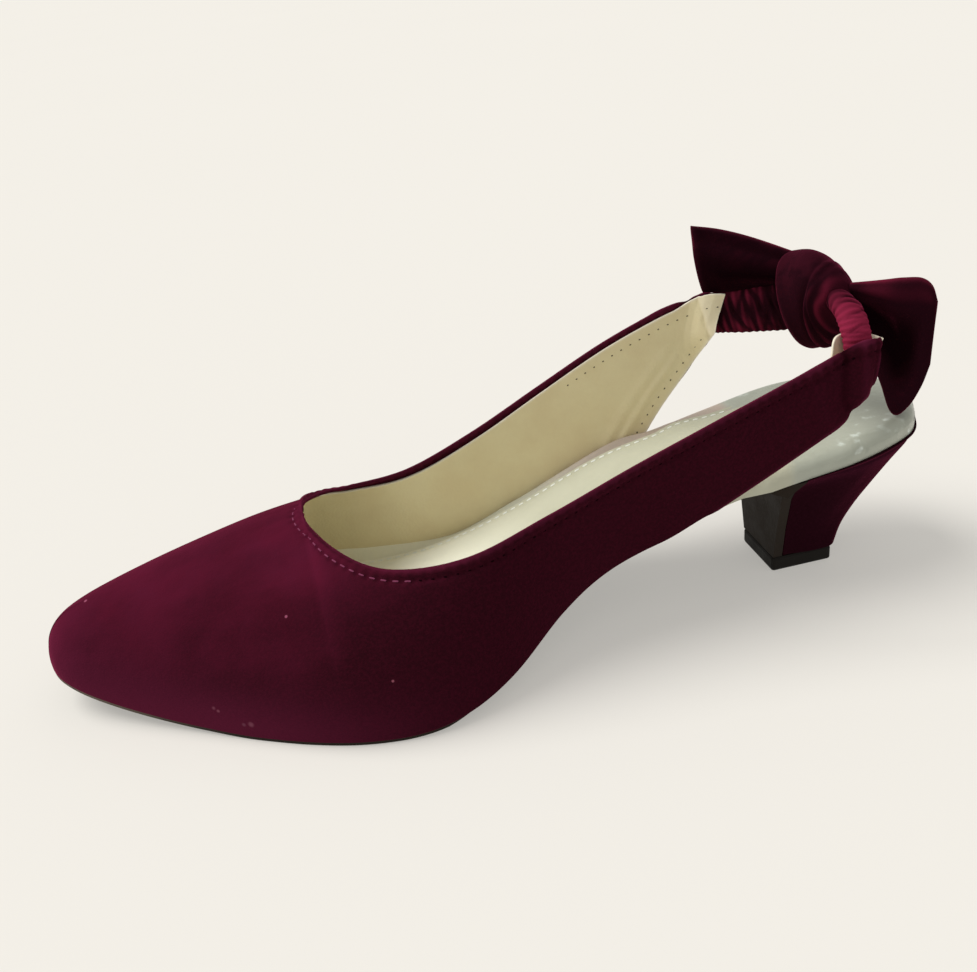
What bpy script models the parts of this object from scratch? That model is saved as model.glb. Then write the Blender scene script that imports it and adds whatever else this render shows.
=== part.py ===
"""Slingback court shoe for the left foot: velvet upper, slim covered heel, back band with a knotted bow.

Sizes are millimetres, and MM turns them into metres when a mesh is made. In the working frame the heel
seat starts at x = 0 and the toe points along +X, +Y is the outer side of the foot and the floor is z = 0.
The root empty then puts the origin under the middle of the whole shoe.
"""

import math
from collections import namedtuple

import bmesh
import bpy
import numpy as np

MM = 0.001
SHOE = "slingback_shoe"

# Driving sizes
GAP = 0.3  # clearance between neighbouring pieces
WALL = 1.6  # velvet, stiffener and lining of the upper
RIM_LIFT = 0.2  # lower rim of the upper over the feather edge
BELLY = 1.2  # outward fullness of the quarters and straps
TOE_SIDE = 0.57  # how far up a vamp section stays upright, as a share of its height
TOE_LEAN = 0.05  # how far it leans outward there, as a share of its span
TOE_CROWN = 0.54  # how far a vamp section runs level from the ridge, as a share of its span
SOLE_THICKNESS = 1.8
SOLE_TIP_TRIM = 0.2  # sole stops short of the toe tip
WAIST_INSET = 1.2  # sole cut back under the waist, at its upper edge
WAIST_BEVEL = 4.2  # and at its lower edge
SOCK_BACK = 0.5  # insole behind the seat's back edge
SOCK_TOE = 4.0  # insole short of the toe tip
SOCK_INSET = WALL + 1.0  # insole inside the sole's outline where the upper stands round it
SOCK_TOE_INSET = WALL + 1.8  # the same at the toe tip
SOCK_ROUND = 1.2  # rounded upper edge of the insole
SOCK_ROUND_SHARE = 0.4  # most of the insole's width that each rounded edge takes near its ends
BREAST_X = 41.2  # front plane of the covered heel
FLAP_THICKNESS = 3.0  # sole leather turned down the front of the heel
FLAP_FILLET = (2.6, 3.6)  # forward and downward reach of the fillet where the sole turns down
SHANK_START = 9.0  # sole runs as a plain plate from this far ahead of the heel
TOP_PIECE_LENGTH = 18.2
TOP_PIECE_WIDTH = 18.6
TOP_PIECE_HEIGHT = 4.6
TOP_PIECE_BACK = 26.2
TOP_PIECE_BEVEL = 0.8

# Plan outline of the sole, from the toe tip to the back of the seat: half widths to the outer and inner side
Outline = namedtuple("Outline", "x outer inner")
OUTLINE = [
    Outline(242.0, -9.4, 9.4),
    Outline(241.0, -4.4, 14.2),
    Outline(238.0, 0.2, 18.4),
    Outline(232.0, 5.4, 23.2),
    Outline(221.0, 12.6, 29.6),
    Outline(207.0, 21.0, 35.6),
    Outline(192.0, 29.8, 39.6),
    Outline(178.0, 37.0, 41.2),
    Outline(165.0, 41.6, 40.0),
    Outline(151.0, 43.4, 36.6),
    Outline(140.0, 41.6, 33.4),
    Outline(128.0, 35.8, 30.2),
    Outline(110.0, 23.4, 26.4),
    Outline(95.0, 19.0, 24.6),
    Outline(75.0, 20.2, 25.0),
    Outline(50.0, 21.4, 26.2),
    Outline(28.0, 22.8, 25.6),
    Outline(10.0, 17.8, 19.4),
    Outline(3.0, 9.6, 11.4),
    Outline(0.0, -1.0, 1.0),
]

# Height of the feather edge, where upper and insole meet the sole
Feather = namedtuple("Feather", "x z")
FEATHER = [
    Feather(0.0, 40.3),
    Feather(25.0, 37.8),
    Feather(50.0, 33.3),
    Feather(80.0, 25.8),
    Feather(95.0, 20.2),
    Feather(110.0, 13.4),
    Feather(125.0, 7.4),
    Feather(140.0, 3.9),
    Feather(152.0, 2.4),
    Feather(158.0, GAP + SOLE_THICKNESS),
    Feather(190.0, GAP + SOLE_THICKNESS),
    Feather(205.0, 3.2),
    Feather(220.0, 5.5),
    Feather(232.0, 8.3),
    Feather(242.0, 11.4),
]

# Where the sole is cut back, as a share of the waist inset
Waist = namedtuple("Waist", "x share")
WAIST = [Waist(52.0, 0.0), Waist(66.0, 1.0), Waist(116.0, 1.0), Waist(146.0, 0.0)]

# Where the insole draws in behind the upper: from and to along x on each side, and where the toe box starts
Draw = namedtuple("Draw", "start full")
OUTER_DRAW = Draw(51.0, 58.0)
INNER_DRAW = Draw(62.0, 69.0)
TOE_BOX_X = 200.0

# Height of the insole over the feather edge: wrapped rim at the seat, cushion under the arch, thin at the toes
Cushion = namedtuple("Cushion", "x height")
CUSHION = [
    Cushion(0.0, 5.6),
    Cushion(45.0, 5.6),
    Cushion(64.0, 6.2),
    Cushion(84.0, 7.0),
    Cushion(104.0, 6.6),
    Cushion(120.0, 6.0),
    Cushion(140.0, 4.6),
    Cushion(175.0, 3.2),
    Cushion(242.0, 2.4),
]

# Heel flap of the sole: level up the heel and how much it thickens towards the turn
Flap = namedtuple("Flap", "level swell")
FLAP = [Flap(0.0, 0.0), Flap(0.35, 0.0), Flap(0.68, 0.2), Flap(0.84, 1.0)]

# Centre line over the vamp, from the top of the toe cap to the throat
Ridge = namedtuple("Ridge", "x y z")
RIDGE = [
    Ridge(230.0, -9.2, 26.8),
    Ridge(222.0, -9.2, 29.0),
    Ridge(210.0, -9.2, 31.8),
    Ridge(196.0, -9.2, 34.8),
    Ridge(183.0, -9.2, 37.6),
    Ridge(170.0, -9.0, 40.4),
]

# Wall sections behind the throat: start on the sole edge, end on the topline, and how far they vault over
Wall = namedtuple("Wall", "sole_x x y z arch")
OUTER_WALL = [
    Wall(158.0, 164.5, 12.0, 38.8, 0.90),
    Wall(146.0, 153.0, 25.0, 37.2, 0.75),
    Wall(131.0, 134.0, 30.0, 38.6, 0.55),
    Wall(112.0, 112.0, 27.2, 43.6, 0.20),
    Wall(94.0, 90.0, 25.2, 50.6, 0.05),
    Wall(77.0, 69.0, 25.0, 57.9, 0.0),
    Wall(66.0, 52.0, 25.0, 63.8, 0.0),
]
INNER_WALL = [
    Wall(161.0, 165.5, -22.0, 37.8, 0.90),
    Wall(151.0, 156.0, -27.2, 36.4, 0.75),
    Wall(138.0, 139.0, -28.4, 37.2, 0.50),
    Wall(120.0, 119.0, -29.0, 43.4, 0.20),
    Wall(104.0, 98.6, -28.8, 53.4, 0.05),
    Wall(88.0, 79.4, -28.4, 62.8, 0.0),
    Wall(72.0, 63.4, -28.0, 69.0, 0.0),
]

# Sling straps behind the last wall section: lower edge, upper edge
Strap = namedtuple("Strap", "low_x low_y low_z x y z")
OUTER_STRAP = [
    Strap(47.0, 22.8, 42.2, 41.0, 25.0, 67.8),
    Strap(32.6, 23.8, 51.0, 31.4, 24.4, 71.0),
    Strap(24.8, 23.2, 59.2, 23.8, 23.2, 71.2),
]
INNER_STRAP = [
    Strap(63.0, -26.2, 41.4, 55.0, -27.6, 71.4),
    Strap(53.0, -26.8, 52.6, 48.8, -27.2, 72.4),
    Strap(46.2, -26.6, 60.8, 43.6, -26.6, 71.8),
]

# Heel back and sides: how much of the way from the top piece to the seat outline each level has reached
Level = namedtuple("Level", "height spread")
HEEL_LEVELS = [
    Level(0.0, 0.0),
    Level(0.18, 0.13),
    Level(0.38, 0.31),
    Level(0.60, 0.54),
    Level(0.80, 0.77),
    Level(0.93, 0.93),
    Level(1.0, 1.0),
]
HEEL_CORNER = 3.0

# Route of the back band, from inside the outer strap to inside the inner strap: its width runs along the
# outer strap's mouth at one end and upright at the other
Band = namedtuple("Band", "x y z width depth wide_x wide_y wide_z")
BAND = [
    Band(30.4, 21.2, 61.0, 9.0, 3.0, 1.0, 0.0, 0.0),
    Band(29.8, 19.8, 68.0, 10.0, 3.6, 1.0, 0.0, 0.05),
    Band(28.6, 16.8, 74.2, 10.0, 4.8, 1.0, 0.1, 0.1),
    Band(27.4, 10.8, 77.4, 9.6, 5.4, 0.9, 0.1, 0.4),
    Band(26.8, 3.6, 77.4, 10.0, 5.6, 0.5, 0.0, 0.8),
    Band(27.8, -3.6, 75.9, 11.4, 5.6, 0.1, 0.0, 1.0),
    Band(31.4, -10.0, 73.1, 12.4, 5.6, 0.0, 0.0, 1.0),
    Band(37.6, -16.0, 70.0, 12.8, 5.2, 0.0, 0.0, 1.0),
    Band(44.8, -21.2, 67.4, 12.6, 4.2, 0.0, 0.0, 1.0),
    Band(51.0, -24.4, 65.8, 11.0, 3.0, 0.0, 0.0, 1.0),
]
KNOT_SPAN = (3.5, 5.6)  # stretch of the band's route that the knot wraps, in rows of BAND
KNOT_RADIUS_UP = 12.8
KNOT_RADIUS_ACROSS = 9.0
KNOT_CORE = 0.56  # share of the radius that the knot has all along
KNOT_TAPER = 0.92  # how round the rest of it is towards its ends

# Knot ends: centre line of each flared tail with its half width, width direction, cupping and fullness
Tail = namedtuple("Tail", "x y z half_width side_x side_y side_z cup full")
OUTER_TAIL = [
    Tail(19.7, 9.4, 76.4, 6.0, 0.05, 0.10, 1.0, 0.6, 3.0),
    Tail(15.8, 12.6, 71.9, 11.4, 0.04, 0.08, 1.0, 1.6, 5.0),
    Tail(12.2, 15.6, 65.6, 17.0, 0.02, 0.05, 1.0, 2.6, 6.0),
    Tail(9.4, 18.0, 65.1, 16.0, 0.0, 0.04, 1.0, 2.6, 5.0),
    Tail(7.6, 19.4, 66.2, 11.0, -0.02, 0.04, 1.0, 1.8, 2.4),
]
INNER_TAIL = [
    Tail(32.5, -10.5, 83.6, 3.8, 0.10, -0.10, 1.0, 0.4, 3.0),
    Tail(38.0, -16.2, 84.0, 5.6, 0.10, -0.10, 1.0, 1.2, 4.6),
    Tail(44.6, -22.4, 83.9, 7.6, 0.12, -0.10, 1.0, 1.4, 4.8),
    Tail(50.6, -27.2, 83.2, 9.0, 0.14, -0.10, 1.0, 1.2, 2.4),
]
CUP_CENTRE = 0.5  # cupping lifts a tail's edges and sinks its middle by equal amounts

# Mesh density
VAMP_ROWS = 16
WALL_ROWS = 26
RIB_STEPS = 11
SOLE_ROWS = 46
SOLE_STEPS = 8
HEEL_STEPS = 36
BAND_ROWS = 34
BAND_SIDES = 14
KNOT_ROWS = 14
KNOT_SIDES = 28
TAIL_ROWS = 10
TAIL_SIDES = 20

# Mesh clean-up
WELD = 0.02
SLIVER = 0.005
CREASE_DEG = 40

# Finishes: colour, roughness
VELVET = ((0.085, 0.006, 0.020), 0.85)
BOW_VELVET = ((0.070, 0.004, 0.012), 0.85)
SOCK = ((0.62, 0.63, 0.52), 0.45)
SOLE_BROWN = ((0.085, 0.075, 0.060), 0.55)


def curve_through(rows, places):
    """Catmull-Rom curve through the rows of a table, read at fractional row numbers."""
    rows = np.asarray(rows, float)
    padded = np.vstack([2 * rows[0] - rows[1], rows, 2 * rows[-1] - rows[-2]])
    places = np.asarray(places, float)
    first = np.clip(np.floor(places).astype(int), 0, len(rows) - 2)
    t = (places - first)[:, None]
    a, b, c, d = (padded[first + k] for k in range(4))
    bend = (2 * a - 5 * b + 4 * c - d) * t**2 + (3 * b - 3 * c + d - a) * t**3
    return b + 0.5 * ((c - a) * t + bend)


def smooth(xs, ys, x):
    """Monotone cubic through the pairs xs, ys, so that flat stretches stay flat."""
    xs, ys, x = np.asarray(xs), np.asarray(ys), np.asarray(x, float)
    step = np.diff(xs)
    rise = np.diff(ys) / step
    product = rise[:-1] * rise[1:]
    inner = np.where(product > 0, 2 * product / np.where(product > 0, rise[:-1] + rise[1:], 1), 0)
    slope = np.concatenate([rise[:1], inner, rise[-1:]])
    i = np.clip(np.searchsorted(xs, x) - 1, 0, len(xs) - 2)
    t = (x - xs[i]) / step[i]
    start = ys[i] + step[i] * slope[i] * t * (1 - t) ** 2 + (ys[i + 1] - ys[i]) * t**2 * (3 - 2 * t)
    return start - step[i] * slope[i + 1] * t**2 * (1 - t)


def feather_z(x):
    return smooth([row.x for row in FEATHER], [row.z for row in FEATHER], x)


def outline_loop():
    """Rows of the whole outline: inner side from the seat to the toe tip, then the outer side back."""
    inner = [(row.x, -row.inner) for row in reversed(OUTLINE)]
    outer = [(row.x, row.outer) for row in OUTLINE[1:]]
    return np.array(inner + outer)


def outline_side(side, samples=600):
    """Dense plan curve from the toe tip to the seat back along the outer (+1) or inner (-1) side."""
    loop = outline_loop()
    tip = len(OUTLINE) - 1
    places = tip + side * np.linspace(0, tip, samples)
    return curve_through(loop, places)


def outline_y(side, x):
    """Signed half width of the sole at x."""
    plan = outline_side(side)[::-1]
    order = np.maximum.accumulate(plan[:, 0])
    return np.interp(x, order, plan[:, 1])


def vamp_rows(side):
    """Sections from the toe tip to the throat: equal shares of the sole edge and of the ridge line."""
    plan = outline_side(side)
    throat_x = RIDGE[-1].x
    plan = plan[plan[:, 0] >= throat_x]
    walked = np.concatenate([[0], np.cumsum(np.linalg.norm(np.diff(plan, axis=0), axis=1))])
    share = np.linspace(0, 1, VAMP_ROWS + 1)
    xy = np.stack([np.interp(share * walked[-1], walked, plan[:, k]) for k in range(2)], axis=1)
    low = np.column_stack([xy, feather_z(xy[:, 0]) + RIM_LIFT])
    top = curve_through(RIDGE, share * (len(RIDGE) - 1))
    return low, top, np.ones(len(share))


def wall_rows(side):
    """Sections from the throat to the strap end."""
    walls, straps = (OUTER_WALL, OUTER_STRAP) if side > 0 else (INNER_WALL, INNER_STRAP)
    other = INNER_WALL[0] if side > 0 else OUTER_WALL[0]
    throat = RIDGE[-1]
    count = len(walls) + len(straps)
    places = np.linspace(0, count, WALL_ROWS + 1)[1:]
    topline = [other[1:4], throat] + [row[1:4] for row in walls] + [row[3:6] for row in straps]
    top = curve_through(topline, places + 1)
    arches = [1.0, 1.0] + [w.arch for w in walls] + [0.0] * len(straps)
    arch = smooth(np.arange(-1.0, count + 1), arches, places)
    sole_x = [throat.x] + [w.sole_x for w in walls]
    on_sole = places <= len(walls)
    x = np.interp(places[on_sole], range(len(sole_x)), sole_x)
    edge = np.column_stack([x, outline_y(side, x), feather_z(x) + RIM_LIFT])
    leave = np.array([sole_x[-1], outline_y(side, sole_x[-1]), feather_z(sole_x[-1]) + RIM_LIFT])
    free = curve_through([leave] + [row[:3] for row in straps], places[~on_sole] - len(walls))
    return np.vstack([edge, free]), top, arch


def upper_sections(side):
    """Grid of points over one side of the upper, a row for each section from its lower to its top edge."""
    parts = [vamp_rows(side), wall_rows(side)]
    low, top, arch = (np.concatenate([part[k] for part in parts]) for k in range(3))
    rise = top - low
    flat = rise * (1, 1, 0)
    height = rise[:, 2:]
    up = np.array([0.0, 0.0, 1.0])
    weight = arch[:, None]
    outward = np.array([0.0, side, 0.0])
    belly = BELLY * (1 - weight)
    upright = TOE_SIDE * height * up - TOE_LEAN * flat
    first = low + (1 - weight) * rise / 3 + weight * upright + belly * outward
    slope = np.gradient(top[:, 2]) / np.gradient(top[:, 0]) * (arch == 1)
    along = TOE_CROWN * (flat + slope[:, None] * flat[:, :1] * up)
    second = top - (1 - weight) * rise / 3 - weight * along + belly * outward
    t = np.linspace(0, 1, RIB_STEPS + 1)[None, :, None]
    low, top, first, second = (p[:, None, :] for p in (low, top, first, second))
    return low * (1 - t) ** 3 + 3 * first * t * (1 - t) ** 2 + 3 * second * t**2 * (1 - t) + top * t**3


def material(name, finish):
    colour, roughness = finish
    made = bpy.data.materials.new(name)
    made.use_nodes = True
    shader = made.node_tree.nodes["Principled BSDF"]
    shader.inputs["Base Color"].default_value = (*colour, 1.0)
    shader.inputs["Roughness"].default_value = roughness
    shader.inputs["Metallic"].default_value = 0.0
    return made


def add_grid(bm, points, closed=False):
    """Quads over a grid of points; closed joins the last column to the first."""
    verts = [[bm.verts.new(p * MM) for p in row] for row in points]
    columns = len(points[0])
    for above, below in zip(verts, verts[1:]):
        for k in range(columns if closed else columns - 1):
            n = (k + 1) % columns
            bm.faces.new((above[k], above[n], below[n], below[k]))
    return verts


def finish_object(name, bm, finish, collection, root):
    """One named object from a bmesh, with doubles welded, its own material and smooth shading."""
    bmesh.ops.remove_doubles(bm, verts=bm.verts, dist=WELD * MM)
    bmesh.ops.dissolve_degenerate(bm, edges=bm.edges, dist=SLIVER * MM)
    mesh = bpy.data.meshes.new(name)
    bm.to_mesh(mesh)
    bm.free()
    mesh.shade_smooth()
    mesh.set_sharp_from_angle(angle=math.radians(CREASE_DEG))
    mesh.materials.append(material(name, finish))
    made = bpy.data.objects.new(name, mesh)
    collection.objects.link(made)
    made.parent = root
    return made


def add_thickness(made, thickness):
    """Solidify towards the inside of the surface."""
    shell = made.modifiers.new("thickness", "SOLIDIFY")
    shell.thickness = thickness * MM
    shell.offset = -1.0
    shell.use_even_offset = True
    return made


def make_upper(collection, root):
    bm = bmesh.new()
    for side in (1, -1):
        grid = upper_sections(side)
        add_grid(bm, grid if side < 0 else grid[:, ::-1])
    return add_thickness(finish_object("upper", bm, VELVET, collection, root), WALL)


def closed_loft(bm, loops):
    """Skin over closed loops of equal length, with both ends capped by a fan round the middle."""
    verts = add_grid(bm, loops, closed=True)
    for ring, reverse in ((verts[0], False), (verts[-1], True)):
        middle = bm.verts.new(sum((v.co for v in ring), ring[0].co * 0) / len(ring))
        for k, vert in enumerate(ring):
            pair = (vert, ring[(k + 1) % len(ring)])
            bm.faces.new((middle, *(pair if reverse else pair[::-1])))
    bmesh.ops.recalc_face_normals(bm, faces=bm.faces)


def plate_loop(upper_line, lower_line, steps):
    """Closed loop round one cross-section of a plate: over the upper line, back along the lower one."""
    t = np.linspace(0, 1, steps + 1)[:, None]
    over = upper_line[0] * (1 - t) + upper_line[1] * t
    under = lower_line[1] * (1 - t) + lower_line[0] * t
    return np.vstack([over, under])


def sole_stations(back_x, front_x):
    """x of each section, crowded towards the rounded ends."""
    turn = np.linspace(0, math.pi, SOLE_ROWS + 1)
    return back_x + (front_x - back_x) * (1 - np.cos(turn)) / 2


def cross_line(x, inner, outer, z):
    return np.array([[x, inner, z], [x, outer, z]])


def make_outsole(collection, root):
    """Sole from the toe tip to the heel breast, turned down the front of the heel as a flap."""
    loops = []
    corner = BREAST_X + GAP
    heel_z = TOP_PIECE_HEIGHT + GAP
    seat_z = feather_z(corner) - GAP
    for row in FLAP:
        z = heel_z + row.level * (seat_z - heel_z)
        inner, outer = (heel_front_y(side, row.level) for side in (-1, 1))
        face = cross_line(BREAST_X + FLAP_THICKNESS + row.swell, inner, outer, z)
        loops.append(plate_loop(cross_line(corner, inner, outer, z), face, SOLE_STEPS))
    inner, outer = (heel_front_y(side, 1.0) for side in (-1, 1))
    reach, drop = FLAP_FILLET
    under = cross_line(corner + FLAP_THICKNESS + reach, inner, outer, seat_z - drop)
    loops.append(plate_loop(cross_line(corner, inner, outer, seat_z), under, SOLE_STEPS))
    for x in sole_stations(corner + SHANK_START, OUTLINE[0].x - SOLE_TIP_TRIM):
        z = feather_z(x) - GAP
        over = cross_line(x, *(sole_edge(side, x, WAIST_INSET) for side in (-1, 1)), z)
        below = cross_line(x, *(sole_edge(side, x, WAIST_BEVEL) for side in (-1, 1)), z - SOLE_THICKNESS)
        loops.append(plate_loop(over, below, SOLE_STEPS))
    bm = bmesh.new()
    closed_loft(bm, loops)
    return finish_object("outsole", bm, SOLE_BROWN, collection, root)


def sole_edge(side, x, waist_inset):
    """Signed half width of the sole, which is cut back under the waist between the heel and the ball."""
    share = np.interp(x, [row.x for row in WAIST], [row.share for row in WAIST])
    return outline_y(side, x) - side * waist_inset * share


def insole_edge(side, x):
    """Signed half width of the insole: flush with the seat at the heel, inside the upper further forward."""
    draw = OUTER_DRAW if side > 0 else INNER_DRAW
    stations = (draw.start, draw.full, TOE_BOX_X, OUTLINE[0].x)
    inset = np.interp(x, stations, (0.0, SOCK_INSET, SOCK_INSET, SOCK_TOE_INSET))
    return outline_y(side, x) - side * inset


def insole_top(x):
    """Height of the insole over the feather edge."""
    return smooth([row.x for row in CUSHION], [row.height for row in CUSHION], x)


def make_insole(collection, root):
    loops = []
    for x in sole_stations(SOCK_BACK, OUTLINE[0].x - SOCK_TOE):
        z = feather_z(x)
        top = z + insole_top(x)
        inner, outer = (insole_edge(side, x) for side in (-1, 1))
        middle = (inner + outer) / 2
        ease = min(SOCK_ROUND, SOCK_ROUND_SHARE * (outer - inner))
        over = cross_line(x, min(inner + ease, middle), max(outer - ease, middle), top)
        under = cross_line(x, inner, outer, z)
        sides = [cross_line(x, inner, outer, top - ease)[k] for k in (0, 1)]
        loop = plate_loop(over, under, SOLE_STEPS)
        loops.append(np.vstack([sides[:1], loop[: SOLE_STEPS + 1], sides[1:], loop[SOLE_STEPS + 1 :]]))
    bm = bmesh.new()
    closed_loft(bm, loops)
    return finish_object("insole", bm, SOCK, collection, root)


def heel_bottom():
    """Plan of the heel over the top piece: square at the breast, rounded at the back."""
    half = TOP_PIECE_WIDTH / 2
    turn = np.linspace(0, math.pi / 2, 6)
    x = TOP_PIECE_BACK + HEEL_CORNER * (1 - np.sin(turn))
    y = half - HEEL_CORNER * (1 - np.cos(turn))
    outer = np.vstack([[BREAST_X, half], np.column_stack([x, y])])
    return np.vstack([outer, outer[::-1] * (1, -1)])


def heel_seat():
    """Plan of the seat from the breast on the outer side round the back to the breast on the inner side."""
    rounds = []
    for side in (1, -1):
        plan = outline_side(side)
        plan = plan[plan[:, 0] <= BREAST_X]
        start = [[BREAST_X, outline_y(side, BREAST_X)]]
        rounds.append(np.vstack([start, plan]))
    return np.vstack([rounds[0], rounds[1][::-1]])


def even_points(line, count):
    """The line read at equal steps of its length."""
    walked = np.concatenate([[0], np.cumsum(np.linalg.norm(np.diff(line, axis=0), axis=1))])
    at = np.linspace(0, walked[-1], count)
    return np.stack([np.interp(at, walked, line[:, k]) for k in range(line.shape[1])], axis=1)


def heel_plan(level):
    """Plan of the heel at a level from 0, over the top piece, to 1, under the seat."""
    spread = smooth([row.height for row in HEEL_LEVELS], [row.spread for row in HEEL_LEVELS], level)
    low, high = (even_points(line, HEEL_STEPS + 1) for line in (heel_bottom(), heel_seat()))
    return low + spread * (high - low)


def heel_front_y(side, level):
    """Signed half width of the heel at its breast."""
    plan = heel_plan(np.array(level))
    return plan[0 if side > 0 else -1][1]


def make_heel(collection, root):
    loops = []
    floor = TOP_PIECE_HEIGHT + GAP
    for row in HEEL_LEVELS:
        plan = heel_plan(np.array(row.height))
        seat = feather_z(plan[:, 0]) - GAP
        loops.append(np.column_stack([plan, floor + row.height * (seat - floor)]))
    bm = bmesh.new()
    verts = add_grid(bm, loops, closed=True)
    bm.faces.new(verts[0])
    bridge_seat(bm, verts[-1])
    bmesh.ops.recalc_face_normals(bm, faces=bm.faces)
    return finish_object("heel", bm, VELVET, collection, root)


def bridge_seat(bm, ring):
    """Top of the heel: strips straight across from side to side, so that it keeps the slope of the seat."""
    half = len(ring) // 2
    for k in range(half):
        corners = [ring[k], ring[k + 1], ring[-2 - k], ring[-1 - k]]
        kept = list(dict.fromkeys(corners))
        if len(kept) > 2:
            bm.faces.new(kept)


def make_top_piece(collection, root):
    bpy.ops.mesh.primitive_cube_add(size=1.0)
    made = bpy.context.active_object
    made.name = made.data.name = "top_piece"
    size = (TOP_PIECE_LENGTH, TOP_PIECE_WIDTH, TOP_PIECE_HEIGHT)
    middle = (TOP_PIECE_BACK + TOP_PIECE_LENGTH / 2, 0.0, TOP_PIECE_HEIGHT / 2)
    for vert in made.data.vertices:
        vert.co = [(m + s * c) * MM for m, s, c in zip(middle, size, vert.co)]
    edges = made.modifiers.new("corners", "BEVEL")
    edges.width = TOP_PIECE_BEVEL * MM
    edges.segments = 2
    edges.limit_method = "ANGLE"
    made.data.materials.append(material("top_piece", SOLE_BROWN))
    for owner in list(made.users_collection):
        owner.objects.unlink(made)
    collection.objects.link(made)
    made.parent = root
    return made


def band_frame(places):
    """Rows of the band's route with the directions of its width and of its depth."""
    rows = curve_through(BAND, places)
    ahead = np.gradient(rows[:, :3], axis=0)
    deep = np.cross(ahead, rows[:, 5:8])
    deep /= np.linalg.norm(deep, axis=1)[:, None]
    wide = np.cross(deep, ahead)
    wide /= np.linalg.norm(wide, axis=1)[:, None]
    return rows, wide, deep


def oval_loop(middle, wide, deep, width, depth, sides):
    turn = np.linspace(0, 2 * math.pi, sides, endpoint=False)
    return middle + np.outer(np.cos(turn) * width / 2, wide) + np.outer(np.sin(turn) * depth / 2, deep)


def make_band(collection, root):
    """Gathered velvet band round the back, from strap to strap."""
    rows, wide, deep = band_frame(np.linspace(0, len(BAND) - 1, BAND_ROWS + 1))
    loops = []
    for k, row in enumerate(rows):
        loops.append(oval_loop(row[:3], wide[k], deep[k], row[3], row[4], BAND_SIDES))
    bm = bmesh.new()
    closed_loft(bm, loops)
    return finish_object("back_band", bm, BOW_VELVET, collection, root)


def make_knot(collection, root):
    """Knot round the middle of the band: a thick sleeve, fuller in the middle than at its ends."""
    rows, wide, deep = band_frame(np.linspace(*KNOT_SPAN, KNOT_ROWS + 1))
    outside, inside = [], []
    for k, row in enumerate(rows):
        place = 2 * k / KNOT_ROWS - 1
        full = KNOT_CORE + (1 - KNOT_CORE) * math.sqrt(1 - KNOT_TAPER * place**2)
        sizes = (2 * KNOT_RADIUS_UP * full, 2 * KNOT_RADIUS_ACROSS * full)
        outside.append(oval_loop(row[:3], wide[k], deep[k], *sizes, KNOT_SIDES))
        inside.append(oval_loop(row[:3], wide[k], deep[k], row[3] + 3 * GAP, row[4] + 3 * GAP, KNOT_SIDES))
    bm = bmesh.new()
    add_grid(bm, outside + inside[::-1] + outside[:1], closed=True)
    bmesh.ops.remove_doubles(bm, verts=bm.verts, dist=WELD * MM)
    bmesh.ops.recalc_face_normals(bm, faces=bm.faces)
    return finish_object("bow_knot", bm, BOW_VELVET, collection, root)


def make_tail(name, table, collection, root):
    """Doubled, flared end of the knotted strip: full in the middle, thin at its edges, cupped across."""
    rows = curve_through(table, np.linspace(0, len(table) - 1, TAIL_ROWS + 1))
    ahead = np.gradient(rows[:, :3], axis=0)
    turn = np.linspace(0, 2 * math.pi, TAIL_SIDES, endpoint=False)
    across = np.cos(turn)
    loops = []
    for k, row in enumerate(rows):
        half_width, cup, full = row[3], row[7], row[8]
        side = row[4:7] / np.linalg.norm(row[4:7])
        face = np.cross(ahead[k], side)
        face /= np.linalg.norm(face)
        lift = (across**2 - CUP_CENTRE) * cup + np.sin(turn) * full / 2
        loops.append(row[:3] + np.outer(across * half_width, side) + np.outer(lift, face))
    bm = bmesh.new()
    closed_loft(bm, loops)
    return finish_object(name, bm, BOW_VELVET, collection, root)


def centre_origin(root, parts):
    """Put the world origin on the floor under the middle of the whole shoe."""
    graph = bpy.context.evaluated_depsgraph_get()
    corners = []
    for part in parts:
        corners += [v.co for v in part.evaluated_get(graph).data.vertices]
    corners = np.array(corners)
    middle = (corners.min(axis=0) + corners.max(axis=0)) / 2
    root.location = (-middle[0], -middle[1], 0.0)


def main():
    for old in list(bpy.data.objects):
        bpy.data.objects.remove(old, do_unlink=True)
    collection = bpy.data.collections.new(SHOE)
    bpy.context.scene.collection.children.link(collection)
    root = bpy.data.objects.new("last_frame", None)
    collection.objects.link(root)
    parts = [
        make_outsole(collection, root),
        make_insole(collection, root),
        make_upper(collection, root),
        make_heel(collection, root),
        make_top_piece(collection, root),
        make_band(collection, root),
        make_knot(collection, root),
        make_tail("bow_tail_outer", OUTER_TAIL, collection, root),
        make_tail("bow_tail_inner", INNER_TAIL, collection, root),
    ]
    centre_origin(root, parts)


main()
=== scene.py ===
"""Looks of the slingback court shoe: velvet, lining, sock, stitches and gathered bow.

Sizes are millimetres in the shoe's working frame: the heel seat starts at x = 0 and the toe points along +X,
+Y is the outer side of the foot and the floor is z = 0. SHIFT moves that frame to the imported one, and MM
turns millimetres into metres when a mesh is made.
"""

import math
from collections import namedtuple

import bmesh
import bpy
import numpy as np
from mathutils import Matrix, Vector
from mathutils.kdtree import KDTree


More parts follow.
